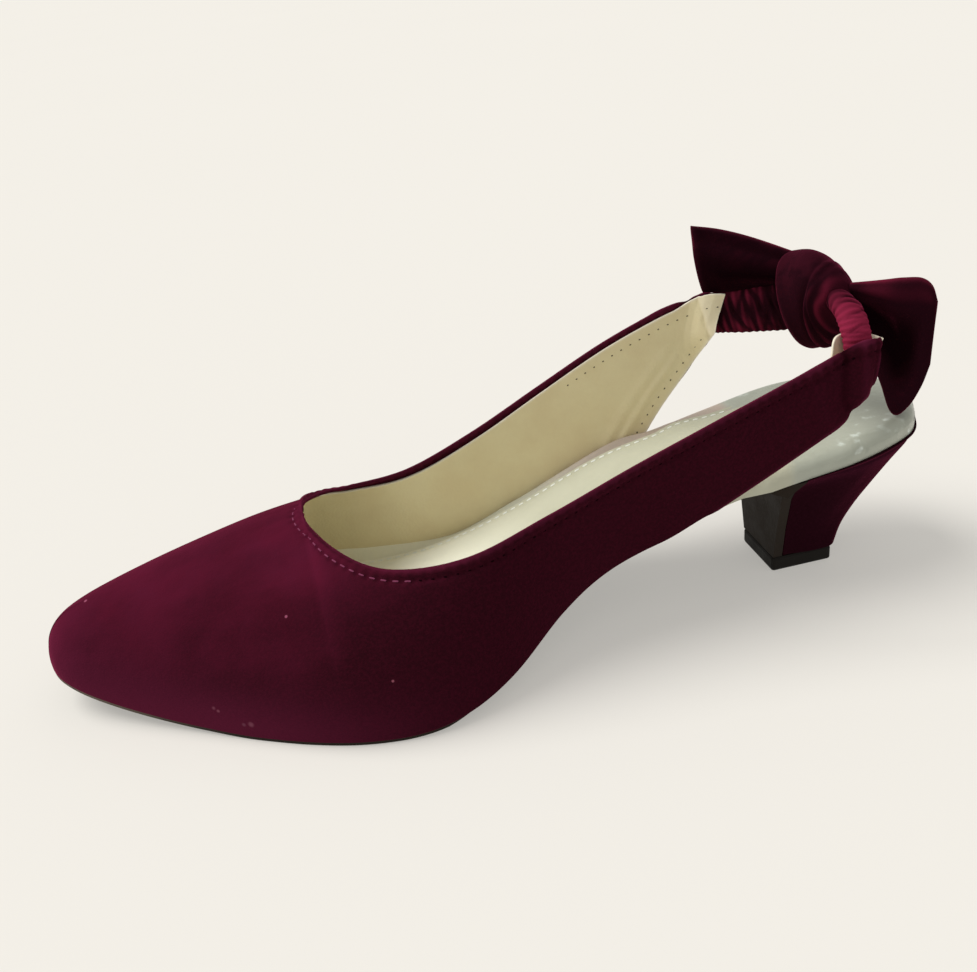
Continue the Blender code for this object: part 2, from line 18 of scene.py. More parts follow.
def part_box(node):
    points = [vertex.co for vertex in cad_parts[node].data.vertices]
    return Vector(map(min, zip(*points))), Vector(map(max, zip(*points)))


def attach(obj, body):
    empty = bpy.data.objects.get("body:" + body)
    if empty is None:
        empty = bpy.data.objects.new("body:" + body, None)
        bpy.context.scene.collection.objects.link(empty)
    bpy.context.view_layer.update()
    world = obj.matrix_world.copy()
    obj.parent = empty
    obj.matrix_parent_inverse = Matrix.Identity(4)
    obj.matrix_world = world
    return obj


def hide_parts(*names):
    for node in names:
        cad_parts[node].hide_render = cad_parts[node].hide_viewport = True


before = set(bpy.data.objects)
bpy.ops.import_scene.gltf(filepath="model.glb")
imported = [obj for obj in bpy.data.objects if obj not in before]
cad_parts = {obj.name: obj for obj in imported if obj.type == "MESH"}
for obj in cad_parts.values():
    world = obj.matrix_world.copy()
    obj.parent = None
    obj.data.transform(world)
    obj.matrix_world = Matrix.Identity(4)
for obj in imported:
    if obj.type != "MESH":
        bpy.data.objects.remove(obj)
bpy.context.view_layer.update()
MM = 0.001


def table(columns, rows):
    """Rows of a table under named columns."""
    row_of = namedtuple("Row", columns)
    return [row_of(*row) for row in rows]


# Sizes shared with the solids
WALL = 1.6  # velvet, stiffener and lining of the upper
BELLY = 1.2  # outward fullness of the quarters and straps
TOE_SIDE = 0.57  # how far up a vamp section stays upright, as a share of its height
TOE_LEAN = 0.05  # how far it leans outward there, as a share of its span
TOE_CROWN = 0.54  # how far a vamp section runs level from the ridge, as a share of its span
INNER_CROWN = 0.05  # how much further on the inner side
SOLE_THICKNESS = 1.8
SOLE_GAP = 0.3  # sole under the feather edge
SOLE_TIP_TRIM = 0.7  # sole stops short of the toe tip
SOLE_EDGE_INSET = 0.5  # and of the velvet's lower rim
WAIST_INSET = 1.2  # sole cut back under the waist, at its upper edge
WAIST_BEVEL = 4.2  # and at its lower edge
SOCK_BACK = 0.5  # insole behind the seat's back edge
SOCK_INSET = WALL + 1.0  # insole inside the sole's outline where the upper stands round it
SOCK_TOE_INSET = WALL + 1.8  # the same at the toe tip
BREAST_X = 41.2  # front plane of the covered heel
FLAP_THICKNESS = 3.0  # sole leather turned down the front of the heel
FLAP_GAP = 0.05  # between it and the top piece
FLAP_FILLET = (2.6, 3.6)  # forward and downward reach of the fillet where the sole turns down
SHANK_START = 9.0  # sole runs as a plain plate from this far ahead of the heel
TOP_PIECE_LENGTH = 18.2
TOP_PIECE_WIDTH = 18.6
TOP_PIECE_HEIGHT = 4.6
TOP_PIECE_BACK = 26.2

# Plan outline of the sole, from the toe tip to the back of the seat: half widths to the outer and inner side
OUTLINE = table("x outer inner", [
    (242.0, -9.4, 9.4), (241.0, -4.4, 14.2), (238.0, 0.2, 18.4), (232.0, 5.4, 23.2), (221.0, 12.6, 29.6),
    (207.0, 21.0, 35.6), (192.0, 29.8, 39.6), (178.0, 37.0, 41.2), (165.0, 41.6, 40.0),
    (151.0, 43.4, 36.6), (140.0, 41.6, 33.4), (128.0, 35.8, 30.2), (110.0, 23.4, 26.4),
    (95.0, 19.0, 24.6), (75.0, 20.2, 25.0), (50.0, 21.4, 26.2), (28.0, 22.8, 25.6), (10.0, 17.8, 19.4),
    (3.0, 9.6, 11.4), (0.0, -1.0, 1.0),
])

# Height of the feather edge, where upper and insole meet the sole
FEATHER = table("x z", [
    (0.0, 40.3), (25.0, 37.8), (50.0, 33.3), (80.0, 25.8), (95.0, 20.2), (110.0, 13.4), (125.0, 7.4),
    (140.0, 3.9), (152.0, 2.4), (158.0, SOLE_GAP + SOLE_THICKNESS), (190.0, SOLE_GAP + SOLE_THICKNESS),
    (205.0, 3.2), (220.0, 5.5), (232.0, 8.3), (242.0, 11.4),
])

# Where the sole is cut back, as a share of the waist inset
WAIST = table("x share", [
    (44.0, 0.4), (54.0, 1.0), (62.0, 2.2), (78.0, 2.2), (92.0, 1.0), (116.0, 1.0), (146.0, 0.0),
])

# Height of the insole over the feather edge: a wrapped rim at the seat, cushioned under the arch
CUSHION = table("x height", [
    (0.0, 5.6), (45.0, 5.6), (64.0, 6.2), (84.0, 7.0), (104.0, 6.6), (120.0, 6.0), (140.0, 4.6),
    (175.0, 3.2), (242.0, 2.4),
])

# Where the insole draws in behind the upper: from and to along x on each side, and where the toe box starts
Draw = namedtuple("Draw", "start full")
OUTER_DRAW = Draw(51.0, 58.0)
INNER_DRAW = Draw(62.0, 69.0)
TOE_BOX_X = 200.0

# Heel flap of the sole: level up the heel and how much it thickens towards the turn
FLAP = table("level swell", [
    (0.0, 0.0), (0.35, 0.0), (0.68, 0.2), (0.84, 1.0),
])

# Centre line over the vamp, from the top of the toe cap to the throat
RIDGE = table("x y z", [
    (230.0, -9.2, 26.8), (222.0, -9.2, 29.0), (210.0, -9.2, 31.8), (196.0, -9.2, 34.8),
    (183.0, -9.0, 37.6), (170.3, -7.0, 40.3),
])

# Wall sections behind the throat: start on the sole edge, end on the topline, and how far they vault over
WALL_COLUMNS = "sole_x x y z arch"
OUTER_WALL = table(WALL_COLUMNS, [
    (158.0, 164.5, 12.0, 38.8, 0.90),
    (146.0, 153.0, 25.0, 37.2, 0.75),
    (131.0, 134.0, 30.0, 38.6, 0.55),
    (112.0, 112.0, 27.2, 43.6, 0.20),
    (94.0, 90.0, 25.2, 50.6, 0.05),
    (77.0, 69.0, 25.0, 57.9, 0.0),
    (66.0, 52.0, 25.0, 63.8, 0.0),
])
INNER_WALL = table(WALL_COLUMNS, [
    (161.0, 165.0, -22.0, 37.4, 0.90),
    (151.0, 156.0, -27.2, 35.5, 0.75),
    (138.0, 139.0, -28.4, 36.3, 0.50),
    (120.0, 119.0, -29.0, 43.4, 0.20),
    (104.0, 98.6, -28.8, 53.4, 0.05),
    (88.0, 79.4, -28.4, 62.8, 0.0),
    (72.0, 63.4, -28.0, 69.0, 0.0),
])

# Sling straps behind the last wall section: lower edge, upper edge
STRAP_COLUMNS = "low_x low_y low_z x y z"
OUTER_STRAP = table(STRAP_COLUMNS, [
    (47.0, 22.8, 42.2, 41.0, 25.0, 67.8),
    (32.6, 23.8, 51.0, 31.4, 24.4, 71.0),
    (24.8, 23.2, 59.2, 23.8, 23.2, 71.2),
])
INNER_STRAP = table(STRAP_COLUMNS, [
    (63.0, -26.2, 41.4, 55.0, -27.6, 71.4),
    (53.0, -26.8, 52.6, 48.8, -27.2, 72.4),
    (46.2, -26.6, 60.8, 43.6, -26.6, 71.8),
])

# Heel: how much of the way from the top piece to the seat outline its back and its front corners have reached
HEEL_LEVELS = table("height back front", [
    (0.0, 0.08, 0.0), (0.18, 0.155, 0.07), (0.38, 0.31, 0.15), (0.60, 0.54, 0.27), (0.80, 0.77, 0.48),
    (0.93, 0.93, 0.76), (1.0, 1.0, 1.0),
])
HEEL_TURN = 0.2  # share of the heel's plan from a front corner to its back
HEEL_CORNER = 3.0

# Route of the back band, from inside the outer strap to inside the inner strap: its width runs along the
# outer strap's mouth at one end and upright at the other
BAND = table("x y z width depth wide_x wide_y wide_z", [
    (27.8, 21.0, 60.5, 7.4, 2.8, 1.0, 0.0, 0.0),
    (27.5, 19.6, 66.5, 7.6, 3.6, 1.0, 0.0, 0.05),
    (27.2, 17.0, 71.8, 7.8, 4.8, 1.0, 0.1, 0.1),
    (26.6, 11.6, 75.8, 8.4, 5.6, 0.93, 0.1, 0.36),
    (26.6, 4.2, 76.6, 10.0, 5.8, 0.5, 0.0, 0.8),
    (28.0, -3.6, 74.4, 12.4, 5.6, 0.1, 0.0, 1.0),
    (31.4, -10.0, 71.9, 14.6, 5.6, 0.0, 0.0, 1.0),
    (38.2, -16.8, 69.6, 13.6, 4.6, 0.0, 0.0, 1.0),
    (45.6, -24.6, 67.2, 12.0, 2.2, 0.0, 0.0, 1.0),
    (51.4, -26.0, 65.8, 10.0, 1.2, 0.0, 0.0, 1.0),
])
KNOT_SPAN = (3.5, 5.8)  # stretch of the band's route that the knot wraps, in rows of BAND
KNOT_RADIUS_UP = 13.8
KNOT_RADIUS_ACROSS = 9.0

# Fullness of the knot from its near end at -1 to its far end at 1
KNOT_FULL = table("share size", [
    (-1.0, 0.37), (-0.8, 0.60), (-0.5, 0.84), (-0.2, 0.97), (0.1, 1.0), (0.6, 1.0), (0.88, 0.93),
    (1.0, 0.80),
])

# Knot ends: centre line of each flared tail with its half width, width direction, cupping and fullness
TAIL_COLUMNS = "x y z half_width side_x side_y side_z cup full"
OUTER_TAIL = table(TAIL_COLUMNS, [
    (22.8, 6.2, 75.6, 5.4, 0.05, 0.10, 1.0, 0.6, 3.4),
    (16.4, 12.0, 69.0, 13.8, 0.04, 0.08, 1.0, 1.4, 4.4),
    (13.4, 14.9, 64.6, 19.0, 0.02, 0.05, 1.0, 2.2, 5.2),
    (10.2, 17.0, 65.6, 17.8, 0.0, 0.04, 1.0, 2.4, 4.8),
    (8.0, 18.5, 67.4, 14.0, 0.0, 0.04, 1.0, 2.0, 3.8),
    (6.6, 19.4, 68.4, 8.6, 0.0, 0.04, 1.0, 1.2, 2.2),
])
INNER_TAIL = table(TAIL_COLUMNS, [
    (29.0, -7.0, 80.8, 5.0, 0.10, -0.10, 1.0, 0.4, 3.4),
    (38.0, -16.2, 82.0, 7.4, 0.10, -0.10, 1.0, 1.2, 4.6),
    (44.6, -22.4, 82.4, 9.0, 0.12, -0.10, 1.0, 1.4, 4.6),
    (50.6, -27.2, 82.7, 9.6, 0.14, -0.10, 1.0, 1.2, 2.6),
])
CUP_CENTRE = 0.5  # cupping lifts a tail's edges and sinks its middle by equal amounts

# Mesh density of the looks
VAMP_ROWS = 80
WALL_ROWS = 190
RIB_STEPS = 58
RIB_CROWD = 1.35  # sections are closer together towards the topline
SOLE_ROWS = 150
SOLE_STEPS = 10
HEEL_LEVEL_ROWS = 44
HEEL_CROWD = 1.6  # its rows are closer together towards the seat
HEEL_STEPS = 110
PLATE_ROWS = 220
PLATE_COLUMNS = 56
PLATE_CROWD = 1.7  # its rows are closer together at the back of the seat
BAND_ROWS = 260
BAND_SIDES = 56
KNOT_ROWS = 110
KNOT_SIDES = 130
TAIL_ROWS = 70
TAIL_SIDES = 96
STITCH_SIDES = 8
STITCH_RINGS = 5
SAMPLE_STEP = 0.25  # spacing of the samples that distances to an edge are read from
NORMAL_REACH = 4  # neighbours on each side over which a stitch row's normals are evened out
ROW_REACH = 3  # and its places

# Velvet, lining and their edges
RIM_LIFT = -0.7  # lower rim of the velvet over the feather edge
RIM_RISE = 2.2  # its further rise where a strap leaves the sole
RIM_RISE_REACH = 16.0
THROAT_ROUND = 0.0195  # curve of the topline beside the throat, per millimetre
THROAT_REACH = (3.0, 19.0)  # topline this far from the throat leaves the vamp's crown
VELVET_THICKNESS = 0.9  # velvet folded over its stiffener
EDGE_STEPS = 6  # facets round its folded edge
LINING_DEPTH = 0.95  # lining under the outer face
LINING_THICKNESS = 0.55
LINING_MARGIN = (2.1, 1.3)  # folded velvet showing above the lining's edge at the throat and at the straps
MARGIN_FADE = (150.0, 80.0)
LINING_HEM = 0.25  # and round the straps' ends and lower edges
STITCH_INSET = 2.8  # stitch row under the folded edge
STITCH_PITCH = 3.0
MEAN_PULL = 0.55  # pull of the stitches on the cloth, as a share of the pull at a stitch
THROAT_STITCH = (1.7, 0.5, 0.36)  # length, width and height
TOPLINE_STITCH = (0.9, 0.45, 0.28)
PUCKER_HIGHLIGHT = 0.4  # painted highlight where the edge swells between two stitches
THROAT_STITCH_X = 147.0  # stitches ahead of this are paler
TOE_LIGHT = 0.68  # painted light over the lower rim of the toe, fading out towards the quarter
TOE_LIGHT_WIDTH = 15.0
TOE_LIGHT_FADE = (115.0, 205.0)
RIM_PUFF = 0.26  # fullness between the stitch row and the edge
PUFF_FREE = 1.3  # its share where no stitch pulls
PUFF_PULL = 0.6  # and what a stitch takes off that
RIM_SWELL = (1.2, 0.9)  # its middle and its width
HEM_PUFF = 0.13  # fullness along the straps' lower edges
HEM_SWELL = (1.5, 1.2)
STITCH_SINK = 0.36  # depth of the channel that the stitches pull in
STITCH_SEAT = 0.4 * STITCH_SINK  # depth of the stitches' middle
CHANNEL_WIDTH = 0.8  # of the channel, and of the rubbed and lit edge
EDGE_WEAR_AND_LIGHT = 0.5  # rubbed edge with a painted highlight, painted shade in the channel, painted light and shade on a fold of one millimetre
CHANNEL_SHADE = 0.4
FOLD_LIGHT_AND_SHADE = 0.55
FOLD_REACH = 30.0  # strap folds stay this near the strap's end
HEM_DROP = 0.7  # the lining hangs over the inner strap's lower edge
HEM_DROP_WIDTH = 1.2
PALE_EDGE = 0.45  # width of the lining's pale cut edge, partly painted highlight
HOLE_INSET = 4.2  # needle holes of the stitch row in the lining
HOLE_SIZE = (0.6, 0.34, 0.3)
HOLE_X = 92.0  # they show behind this
HEM_HOLE_INSET = 2.4  # and along the straps' lower edges

# Soft troughs (negative) and ridges of the velvet across each strap: distance from its end at the lower edge,
# how much further that is at the upper edge, width, height
STRAP_FOLDS = table("from_end slant width height", [
    (8.6, 0.10, 1.6, -0.85), (3.4, 0.10, 1.5, 0.50), (0.8, 0.0, 0.8, -0.30), (14.0, 0.20, 2.6, 0.20),
])

# Lining at the inner strap's end, which opens over the band: distance from the end, how far it stands off
TAB_LIFT = table("from_end height", [
    (0.0, 4.5), (3.0, 3.9), (5.0, 2.9), (7.0, 1.4), (9.0, 0.4), (11.5, 0.0),
])
TAB_WAY = (0.16, 1.0, 0.5)  # way in which it stands off
TAB_FADE = (8.0, 14.0)  # stretch from the end over which it joins the rest
TAB_CREASE = (1.6, 0.45)  # its crease: distance from the end at the lower edge, and how that grows upwards
CREASE_HEIGHT = 0.35
CREASE_WIDTH = 0.5
TAB_MARGIN_CUT = 0.9  # share of the lining's margin that closes at this end
TURNED_PALE = 0.5  # how pale it is past the crease
TURNED_FADE = (-0.4, 0.2)

# Soft ridges in the lining along the inner strap: distance from its lower edge, width, height
LINING_RIDGES = table("inset width height", [
    (5.6, 1.1, 0.5), (9.2, 1.6, 0.35),
])
RIDGE_FADE = (9.0, 18.0)  # they start this far from the strap's end

# Tongue of lining in the outer strap's mouth: lower and upper point from its front to its back
TONGUE = table("low_x low_y low_z x y z", [
    (36.4, 20.6, 60.5, 35.0, 19.0, 67.4),
    (34.4, 18.8, 59.0, 32.6, 16.4, 71.0),
    (28.0, 17.2, 58.0, 27.0, 14.6, 70.8),
    (24.6, 17.8, 61.0, 22.2, 15.8, 69.8),
    (23.0, 19.4, 65.2, 20.3, 18.8, 69.2),
])
TONGUE_GRID = (41, 25)  # points along and up

# Insole board and sock
BOARD_REACH = 1.1  # board pushed up to the lining where the upper stands round it
BOARD_ROUND = 0.3  # rounded upper edge of the board there
BOARD_ROUND_SEAT = 3.4  # and round the seat
ROUND_FADE = (60.0, 78.0)  # stretch along x between the two
COVE_WIDTH = 3.0
SOCK_BORDER = 2.0  # board showing beside the sock at the forefoot
SOCK_SEAT_BORDER = 6.6  # and at the seat
BORDER_FADE = (52.0, 90.0)
SOCK_CHANNEL = 0.3  # depth of the sock's stitch channel
SOCK_CHANNEL_WIDTH = 0.6
SOCK_SWELL = (3.6, 1.6)  # middle and width of the swelling beside it
SOCK_DEPTH = 1.2  # the sock's underside below the board's face
SOCK_ROUND = (0.3, 0.7)  # its rounded edge at the seat and at the forefoot
SOCK_STITCH_INSET = 1.5
SOCK_STITCH = (1.7, 0.62, 0.44)
SOCK_STITCH_X = 46.0  # the row runs out at the seat
SOCK_PITCH = 2.7

# Colours of the board beside the sock: inner side of the waist; ball, the sock's colour darkened as painted
# shade; under the vamp,
# # made pale as painted light where the vamp shades it; round the seat, with painted glints
WAIST_BORDER = (0.50, 0.415, 0.345)
# painted shade: the sock's colour darkened
SHADED_BALL_BORDER = (0.50, 0.50, 0.385)
LIT_FRONT_BORDER = (0.88, 0.87, 0.70)
PEARL = ((0.38, 0.40, 0.33), (0.47, 0.495, 0.415))
PEARL_GLINT = (0.80, 0.88, 0.82)
WAIST_FADE = (82.0, 112.0)  # stretches along x over which they change
FRONT_FADE = (100.0, 150.0)
PEARL_FADE = (43.5, 47.0)
WAIST_SIDE = -6.0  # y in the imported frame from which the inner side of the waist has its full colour

# Rise of the board's border to the lining
COVE = table("x height", [
    (60.0, 0.0), (78.0, 1.5), (110.0, 1.2), (127.0, 0.2), (138.0, 1.6), (150.0, 3.4), (166.0, 4.6),
    (242.0, 4.6),
])

# Sock and padding over the board
PADDING = table("x height", [
    (0.0, -0.5), (34.0, -0.4), (48.0, 0.3), (64.0, 1.7), (100.0, 1.9), (122.0, 1.8), (146.0, 1.0),
    (242.0, 0.8),
])

# Edges of heel and sole
HEEL_LIP = 0.3  # folded velvet edge at the top of the heel
HEEL_GAP = 0.05  # between it and the seat
LIP_RIDGE = (0.5, 0.55)  # middle and width, down from the seat, of its ridge and of the groove under it
LIP_GROOVE = (1.7, 0.6)
LIP_SHADE = (0.0, 0.5)  # the same of the painted shadow at its edge against the seat, and of the painted highlight under it
LIP_SHADOW = 0.6
HEEL_HIGHLIGHT_BAND = (3.0, 4.0)
HEEL_HIGHLIGHT = 0.3
HEEL_ROUND = 0.5
SOLE_ROUND = 0.3
BEVEL_ANGLE = 45.0  # edges sharper than this are rounded

# Creases of the gathered band: place in rows of BAND and turn round it at the crease's middle, slant, how
# much of a turn it reaches to each side, width, depth
GATHER_COLUMNS = "place turn slant reach width depth"
FAR_GATHERS = table(GATHER_COLUMNS, [
    (5.72, 4.7, 0.10, 1.2, 0.07, 0.54),
    (5.98, 5.2, -0.16, 0.7, 0.06, 0.40),
    (6.10, 4.3, 0.22, 0.8, 0.07, 0.58),
    (6.38, 4.9, 0.12, 1.1, 0.06, 0.65),
    (6.62, 4.2, -0.20, 0.6, 0.06, 0.40),
    (6.78, 5.0, 0.26, 0.9, 0.07, 0.61),
    (7.04, 4.5, 0.08, 1.0, 0.06, 0.54),
    (7.22, 5.3, -0.24, 0.6, 0.05, 0.36),
    (7.40, 4.6, 0.20, 1.0, 0.07, 0.65),
    (7.66, 4.2, 0.14, 0.7, 0.06, 0.43),
    (7.82, 5.0, -0.12, 0.9, 0.06, 0.58),
    (8.06, 4.6, 0.16, 1.0, 0.06, 0.50),
    (8.36, 4.8, -0.10, 0.8, 0.05, 0.40),
    (8.62, 4.5, 0.12, 0.9, 0.05, 0.36),
])
NEAR_GATHERS = table(GATHER_COLUMNS, [
    (0.62, 1.5, 0.10, 1.1, 0.06, 0.23),
    (0.98, 1.9, -0.12, 0.8, 0.06, 0.26),
    (1.24, 1.3, 0.14, 0.9, 0.06, 0.29),
    (1.55, 1.8, 0.10, 1.1, 0.06, 0.26),
    (1.82, 1.2, -0.10, 0.8, 0.05, 0.26),
    (2.06, 1.7, 0.16, 1.0, 0.06, 0.33),
    (2.36, 1.4, 0.08, 0.9, 0.05, 0.26),
    (2.62, 1.9, 0.14, 1.0, 0.06, 0.33),
    (2.90, 1.5, -0.12, 0.9, 0.05, 0.29),
    (3.20, 1.7, 0.12, 1.0, 0.06, 0.33),
])
GATHER_BACK = 0.09  # the creases on the hidden half are set off by this much
GATHER_SWELL = 0.22  # fullness between the creases
GATHER_RIPPLE = 0.03
NEAR_WRINKLES = 4.2  # fine wrinkles of its near end, in each row of BAND
NEAR_WRINKLE_DEPTH = 0.09
NEAR_WRINKLE_FADE = (3.2, 3.8)
FAR_NET = 2.7  # crossing wrinkles of its far end, in each row of BAND
FAR_NET_SLANT = 2.3
FAR_NET_DEPTH = 0.22
FAR_NET_FADE = (5.0, 5.6)
CREASE_SHADE = 0.95  # painted shade in a crease of one millimetre
NEAR_BAND_HIGHLIGHT = 0.9  # painted highlight where the band turns to the light
FAR_BAND_HIGHLIGHT = 0.48
NEAR_BAND_FADE = (2.2, 4.2)
FAR_BAND_FADE = (5.4, 7.2)

# Turns of the knot from its far end: edge from -1 to 1 along it, slant and its phase, how far it sinks away,
# height, and the turn at which it stands out most
WRAPS = table("edge slant phase length height fullest", [
    (0.97, 0.04, 0.4, 0.70, 0.8, -0.9),
    (-0.21, 0.46, -1.36, 0.45, 1.0, -1.1),
    (-0.47, 0.32, -1.48, 0.35, 0.6, -1.2),
    (-0.66, 0.24, -1.52, 0.35, 0.12, -1.3),
])
KNOT_NEAR_HIGHLIGHT = 0.15  # painted highlight at the knot's near end
KNOT_NEAR_FADE = (-1.0, -0.5)
KNOT_SLEEVE = 0.8  # the knot's ends close on the band at this share of its size
WRAP_EDGE_HIGHLIGHT = 0.32  # painted highlight on an edge, and painted shade in the groove beside it
WRAP_GROOVE_SHADE = 0.42
WRAP_FADE = 0.2  # what is left of a turn's height opposite its fullest place
WRAP_WOBBLE = 0.02
WRAP_SINK = 0.6
WRAP_GROOVE = 0.32  # depth of the groove beside an edge
WRAP_SOFT = 0.065  # how softly an edge turns over

# Folds of the tails: place across at the root and the tip from -1 to 1, width, height, stretch along the tail
TAIL_FOLD_COLUMNS = "root tip width height start end"
OUTER_TAIL_FOLDS = table(TAIL_FOLD_COLUMNS, [
    (0.0, -0.15, 0.42, -4.2, -0.1, 0.75),
    (0.75, 0.8, 0.22, 1.0, -0.1, 1.1),
    (-0.7, -0.8, 0.2, 0.6, -0.1, 0.8),
])
INNER_TAIL_FOLDS = table(TAIL_FOLD_COLUMNS, [
    (0.45, 0.6, 0.28, 0.8, -0.3, 1.2),
    (-0.15, -0.25, 0.30, -1.3, -0.3, 1.0),
    (-0.65, -0.7, 0.16, 0.5, -0.3, 0.7),
])
OUTER_TAIL_SHADE = 0.12  # painted shade on the tails' faces, away from their edges
INNER_TAIL_SHADE = 0.7
FOLD_IN = 0.25  # stretch over which a fold starts, and ends, as a share of the tail
FOLD_OUT = 0.35
TAIL_EDGE = 0.05  # width of the edge's painted highlight
TAIL_EDGE_HIGHLIGHT = 0.24
TAIL_FOLD_LIGHT_AND_SHADE = 0.3
SHOULDER_ALONG = (0.15, 0.15)  # middle and width of the painted highlight beside the knot
SHOULDER_ACROSS = (0.9, 0.35)
SHOULDER_HIGHLIGHT = 0.15

# Patches in which the pile lies differently
Patch = namedtuple("Patch", "size strength")
BROAD_PATCH = Patch(17.0, 0.10)
SMALL_PATCH = Patch(3.6, 0.26)

LIT_FACING_WAY = (0.7, -0.1, 0.7)  # painted light: velvet that faces this way, towards the key light, is painted lighter
BOW_LIT_FACING_WAY = (0.3, 0.0, 0.95)  # and on the bow
COLD_CAST = (0.92, 1.45, 1.4)  # colour factors of its cooler patches
FOLD_SHADE = 0.2  # and of the shade painted into folds, creases and grooves
SHEEN_TINT = (0.80, 0.10, 0.24)

# Tones of each velvet (deep, painted shade on faces turned from the light; bright, painted light on faces
# turned to it;
# # worn, rubbed edges and painted highlights), leather (plain, shade, edge: pale edges, partly painted
# highlight, and
# # painted light where the leather lies in shade) and sole (face, toe edge, edge)
UPPER_TONES = ((0.0265, 0.0042, 0.0082), (0.095, 0.0068, 0.0210), (0.128, 0.015, 0.043))
HEEL_TONES = ((0.0165, 0.0034, 0.0064), (0.040, 0.0068, 0.015), (0.060, 0.010, 0.028))
BOW_TONES = ((0.0158, 0.0035, 0.0066), (0.033, 0.0038, 0.0082), (0.340, 0.026, 0.072))
LINING_TONES = ((0.87, 0.78, 0.51), (0.82, 0.71, 0.45), (0.90, 0.83, 0.67))
SOCK_TONES = ((0.53, 0.535, 0.415), (0.49, 0.495, 0.375), (0.90, 0.90, 0.76))
SOLE_TONES = ((0.0130, 0.0098, 0.0072), (0.13, 0.105, 0.082), (0.026, 0.019, 0.014))
TOP_PIECE_TONES = ((0.0120, 0.0098, 0.0078), (0.014, 0.012, 0.010), (0.014, 0.012, 0.010))
SOLE_SHADE = 0.72  # of its darker clouds
SOLE_EDGE_FADE = (195.0, 232.0)

# Threads and needle holes: colour, shade between the strands, gloss
THROAT_THREAD = ((0.26, 0.06, 0.13), (0.12, 0.02, 0.05), 0.1)
TOPLINE_THREAD = ((0.010, 0.0015, 0.004), (0.006, 0.001, 0.002), 0.0)
SOCK_THREAD = ((0.93, 0.96, 0.91), (0.78, 0.81, 0.74), 0.3)
NEEDLE_HOLE = ((0.10, 0.07, 0.045), (0.05, 0.035, 0.02), 0.1)

# Lint, rubbed spots and pale scuffs on the velvet
SPECKS = table("x y z radius soft colour", [
    (229.1, -8.6, 27.0, 0.25, 0.35, (0.30, 0.08, 0.14)),
    (178.8, 22.6, 29.0, 0.2, 0.3, (0.30, 0.08, 0.14)),
    (157.3, 40.6, 16.5, 0.2, 0.3, (0.30, 0.09, 0.13)),
    (199.7, 25.4, 8.2, 0.1, 0.55, (0.20, 0.06, 0.09)),
    (200.7, 24.8, 8.9, 0.1, 0.65, (0.17, 0.05, 0.08)),
    (192.4, 29.7, 5.3, 0.2, 0.9, (0.17, 0.05, 0.08)),
    (194.2, 28.8, 5.0, 0.1, 0.7, (0.14, 0.04, 0.07)),
])

# Stage
FLOOR_SIZE = 40000.0
FLOOR_COLOUR = (0.480, 0.467, 0.4385)
FLOOR_SHADE = 0.985  # of its faint clouds
FLOOR_GLOW = 0.753  # lit from below like a light table, so that shadows stay pale
SKY_COLOUR = (1.0, 0.985, 0.96)
SKY_STRENGTH = 0.45
KEY_FROM = (0.50, -0.24, 0.83)  # direction towards the light
KEY_STRENGTH = 2.6
KEY_COLOUR = (1.0, 0.98, 0.95)
KEY_ANGLE = 40.0

# Camera: place, turn from +Y towards +X, elevation and roll in degrees; focal length in pixels of the image
CAMERA_PLACE = (168.073, 246.093, 171.780)
CAMERA_TURN = 10.72
CAMERA_ELEVATION = 27.62
CAMERA_ROLL = -6.63
FOCAL_PIXELS = 1074.2
IMAGE_WIDTH = 977
SENSOR = 36.0

WELD = 0.004  # points closer than this are merged


def packed_shift():
    """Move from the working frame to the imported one, read from the top piece's place."""
    low, high = (np.array(corner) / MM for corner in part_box("top_piece"))
    middle = np.array([TOP_PIECE_BACK + TOP_PIECE_LENGTH / 2, 0.0])
    return np.append(((low + high) / 2)[:2] - middle, 0.0)


SHIFT = packed_shift()


def curve_through(rows, places):
    """Catmull-Rom curve through the rows of a table, read at fractional row numbers."""
    rows = np.asarray(rows, float)
    padded = np.vstack([2 * rows[0] - rows[1], rows, 2 * rows[-1] - rows[-2]])
    places = np.asarray(places, float)
    first = np.clip(np.floor(places).astype(int), 0, len(rows) - 2)
    t = (places - first)[:, None]
    a, b, c, d = (padded[first + k] for k in range(4))
    bend = (2 * a - 5 * b + 4 * c - d) * t**2 + (3 * b - 3 * c + d - a) * t**3
    return b + 0.5 * ((c - a) * t + bend)


def smooth(xs, ys, x):
    """Monotone cubic through the pairs xs, ys, so that flat stretches stay flat."""
    xs, ys, x = np.asarray(xs), np.asarray(ys), np.asarray(x, float)
    step = np.diff(xs)
    rise = np.diff(ys) / step
    product = rise[:-1] * rise[1:]
    inner = np.where(product > 0, 2 * product / np.where(product > 0, rise[:-1] + rise[1:], 1), 0)
    slope = np.concatenate([rise[:1], inner, rise[-1:]])
    i = np.clip(np.searchsorted(xs, x) - 1, 0, len(xs) - 2)
    t = (x - xs[i]) / step[i]
    start = ys[i] + step[i] * slope[i] * t * (1 - t) ** 2 + (ys[i + 1] - ys[i]) * t**2 * (3 - 2 * t)
    return start - step[i] * slope[i + 1] * t**2 * (1 - t)


def feather_z(x):
    return smooth(*zip(*FEATHER), x)


def outline_loop():
    """Rows of the whole outline: inner side from the seat to the toe tip, then the outer side back, with one
    row more at each end so that the seat is round."""
    inner = [(row.x, -row.inner) for row in reversed(OUTLINE)]
    outer = [(row.x, row.outer) for row in OUTLINE[1:]]
    return np.array(outer[-2:-1] + inner + outer + inner[1:2])


def outline_side(side, samples=600):
    """Dense plan curve from the toe tip to the seat back along the outer (+1) or inner (-1) side."""
    tip = len(OUTLINE)
    places = tip + side * np.linspace(0, tip - 1, samples)
    return curve_through(outline_loop(), places)


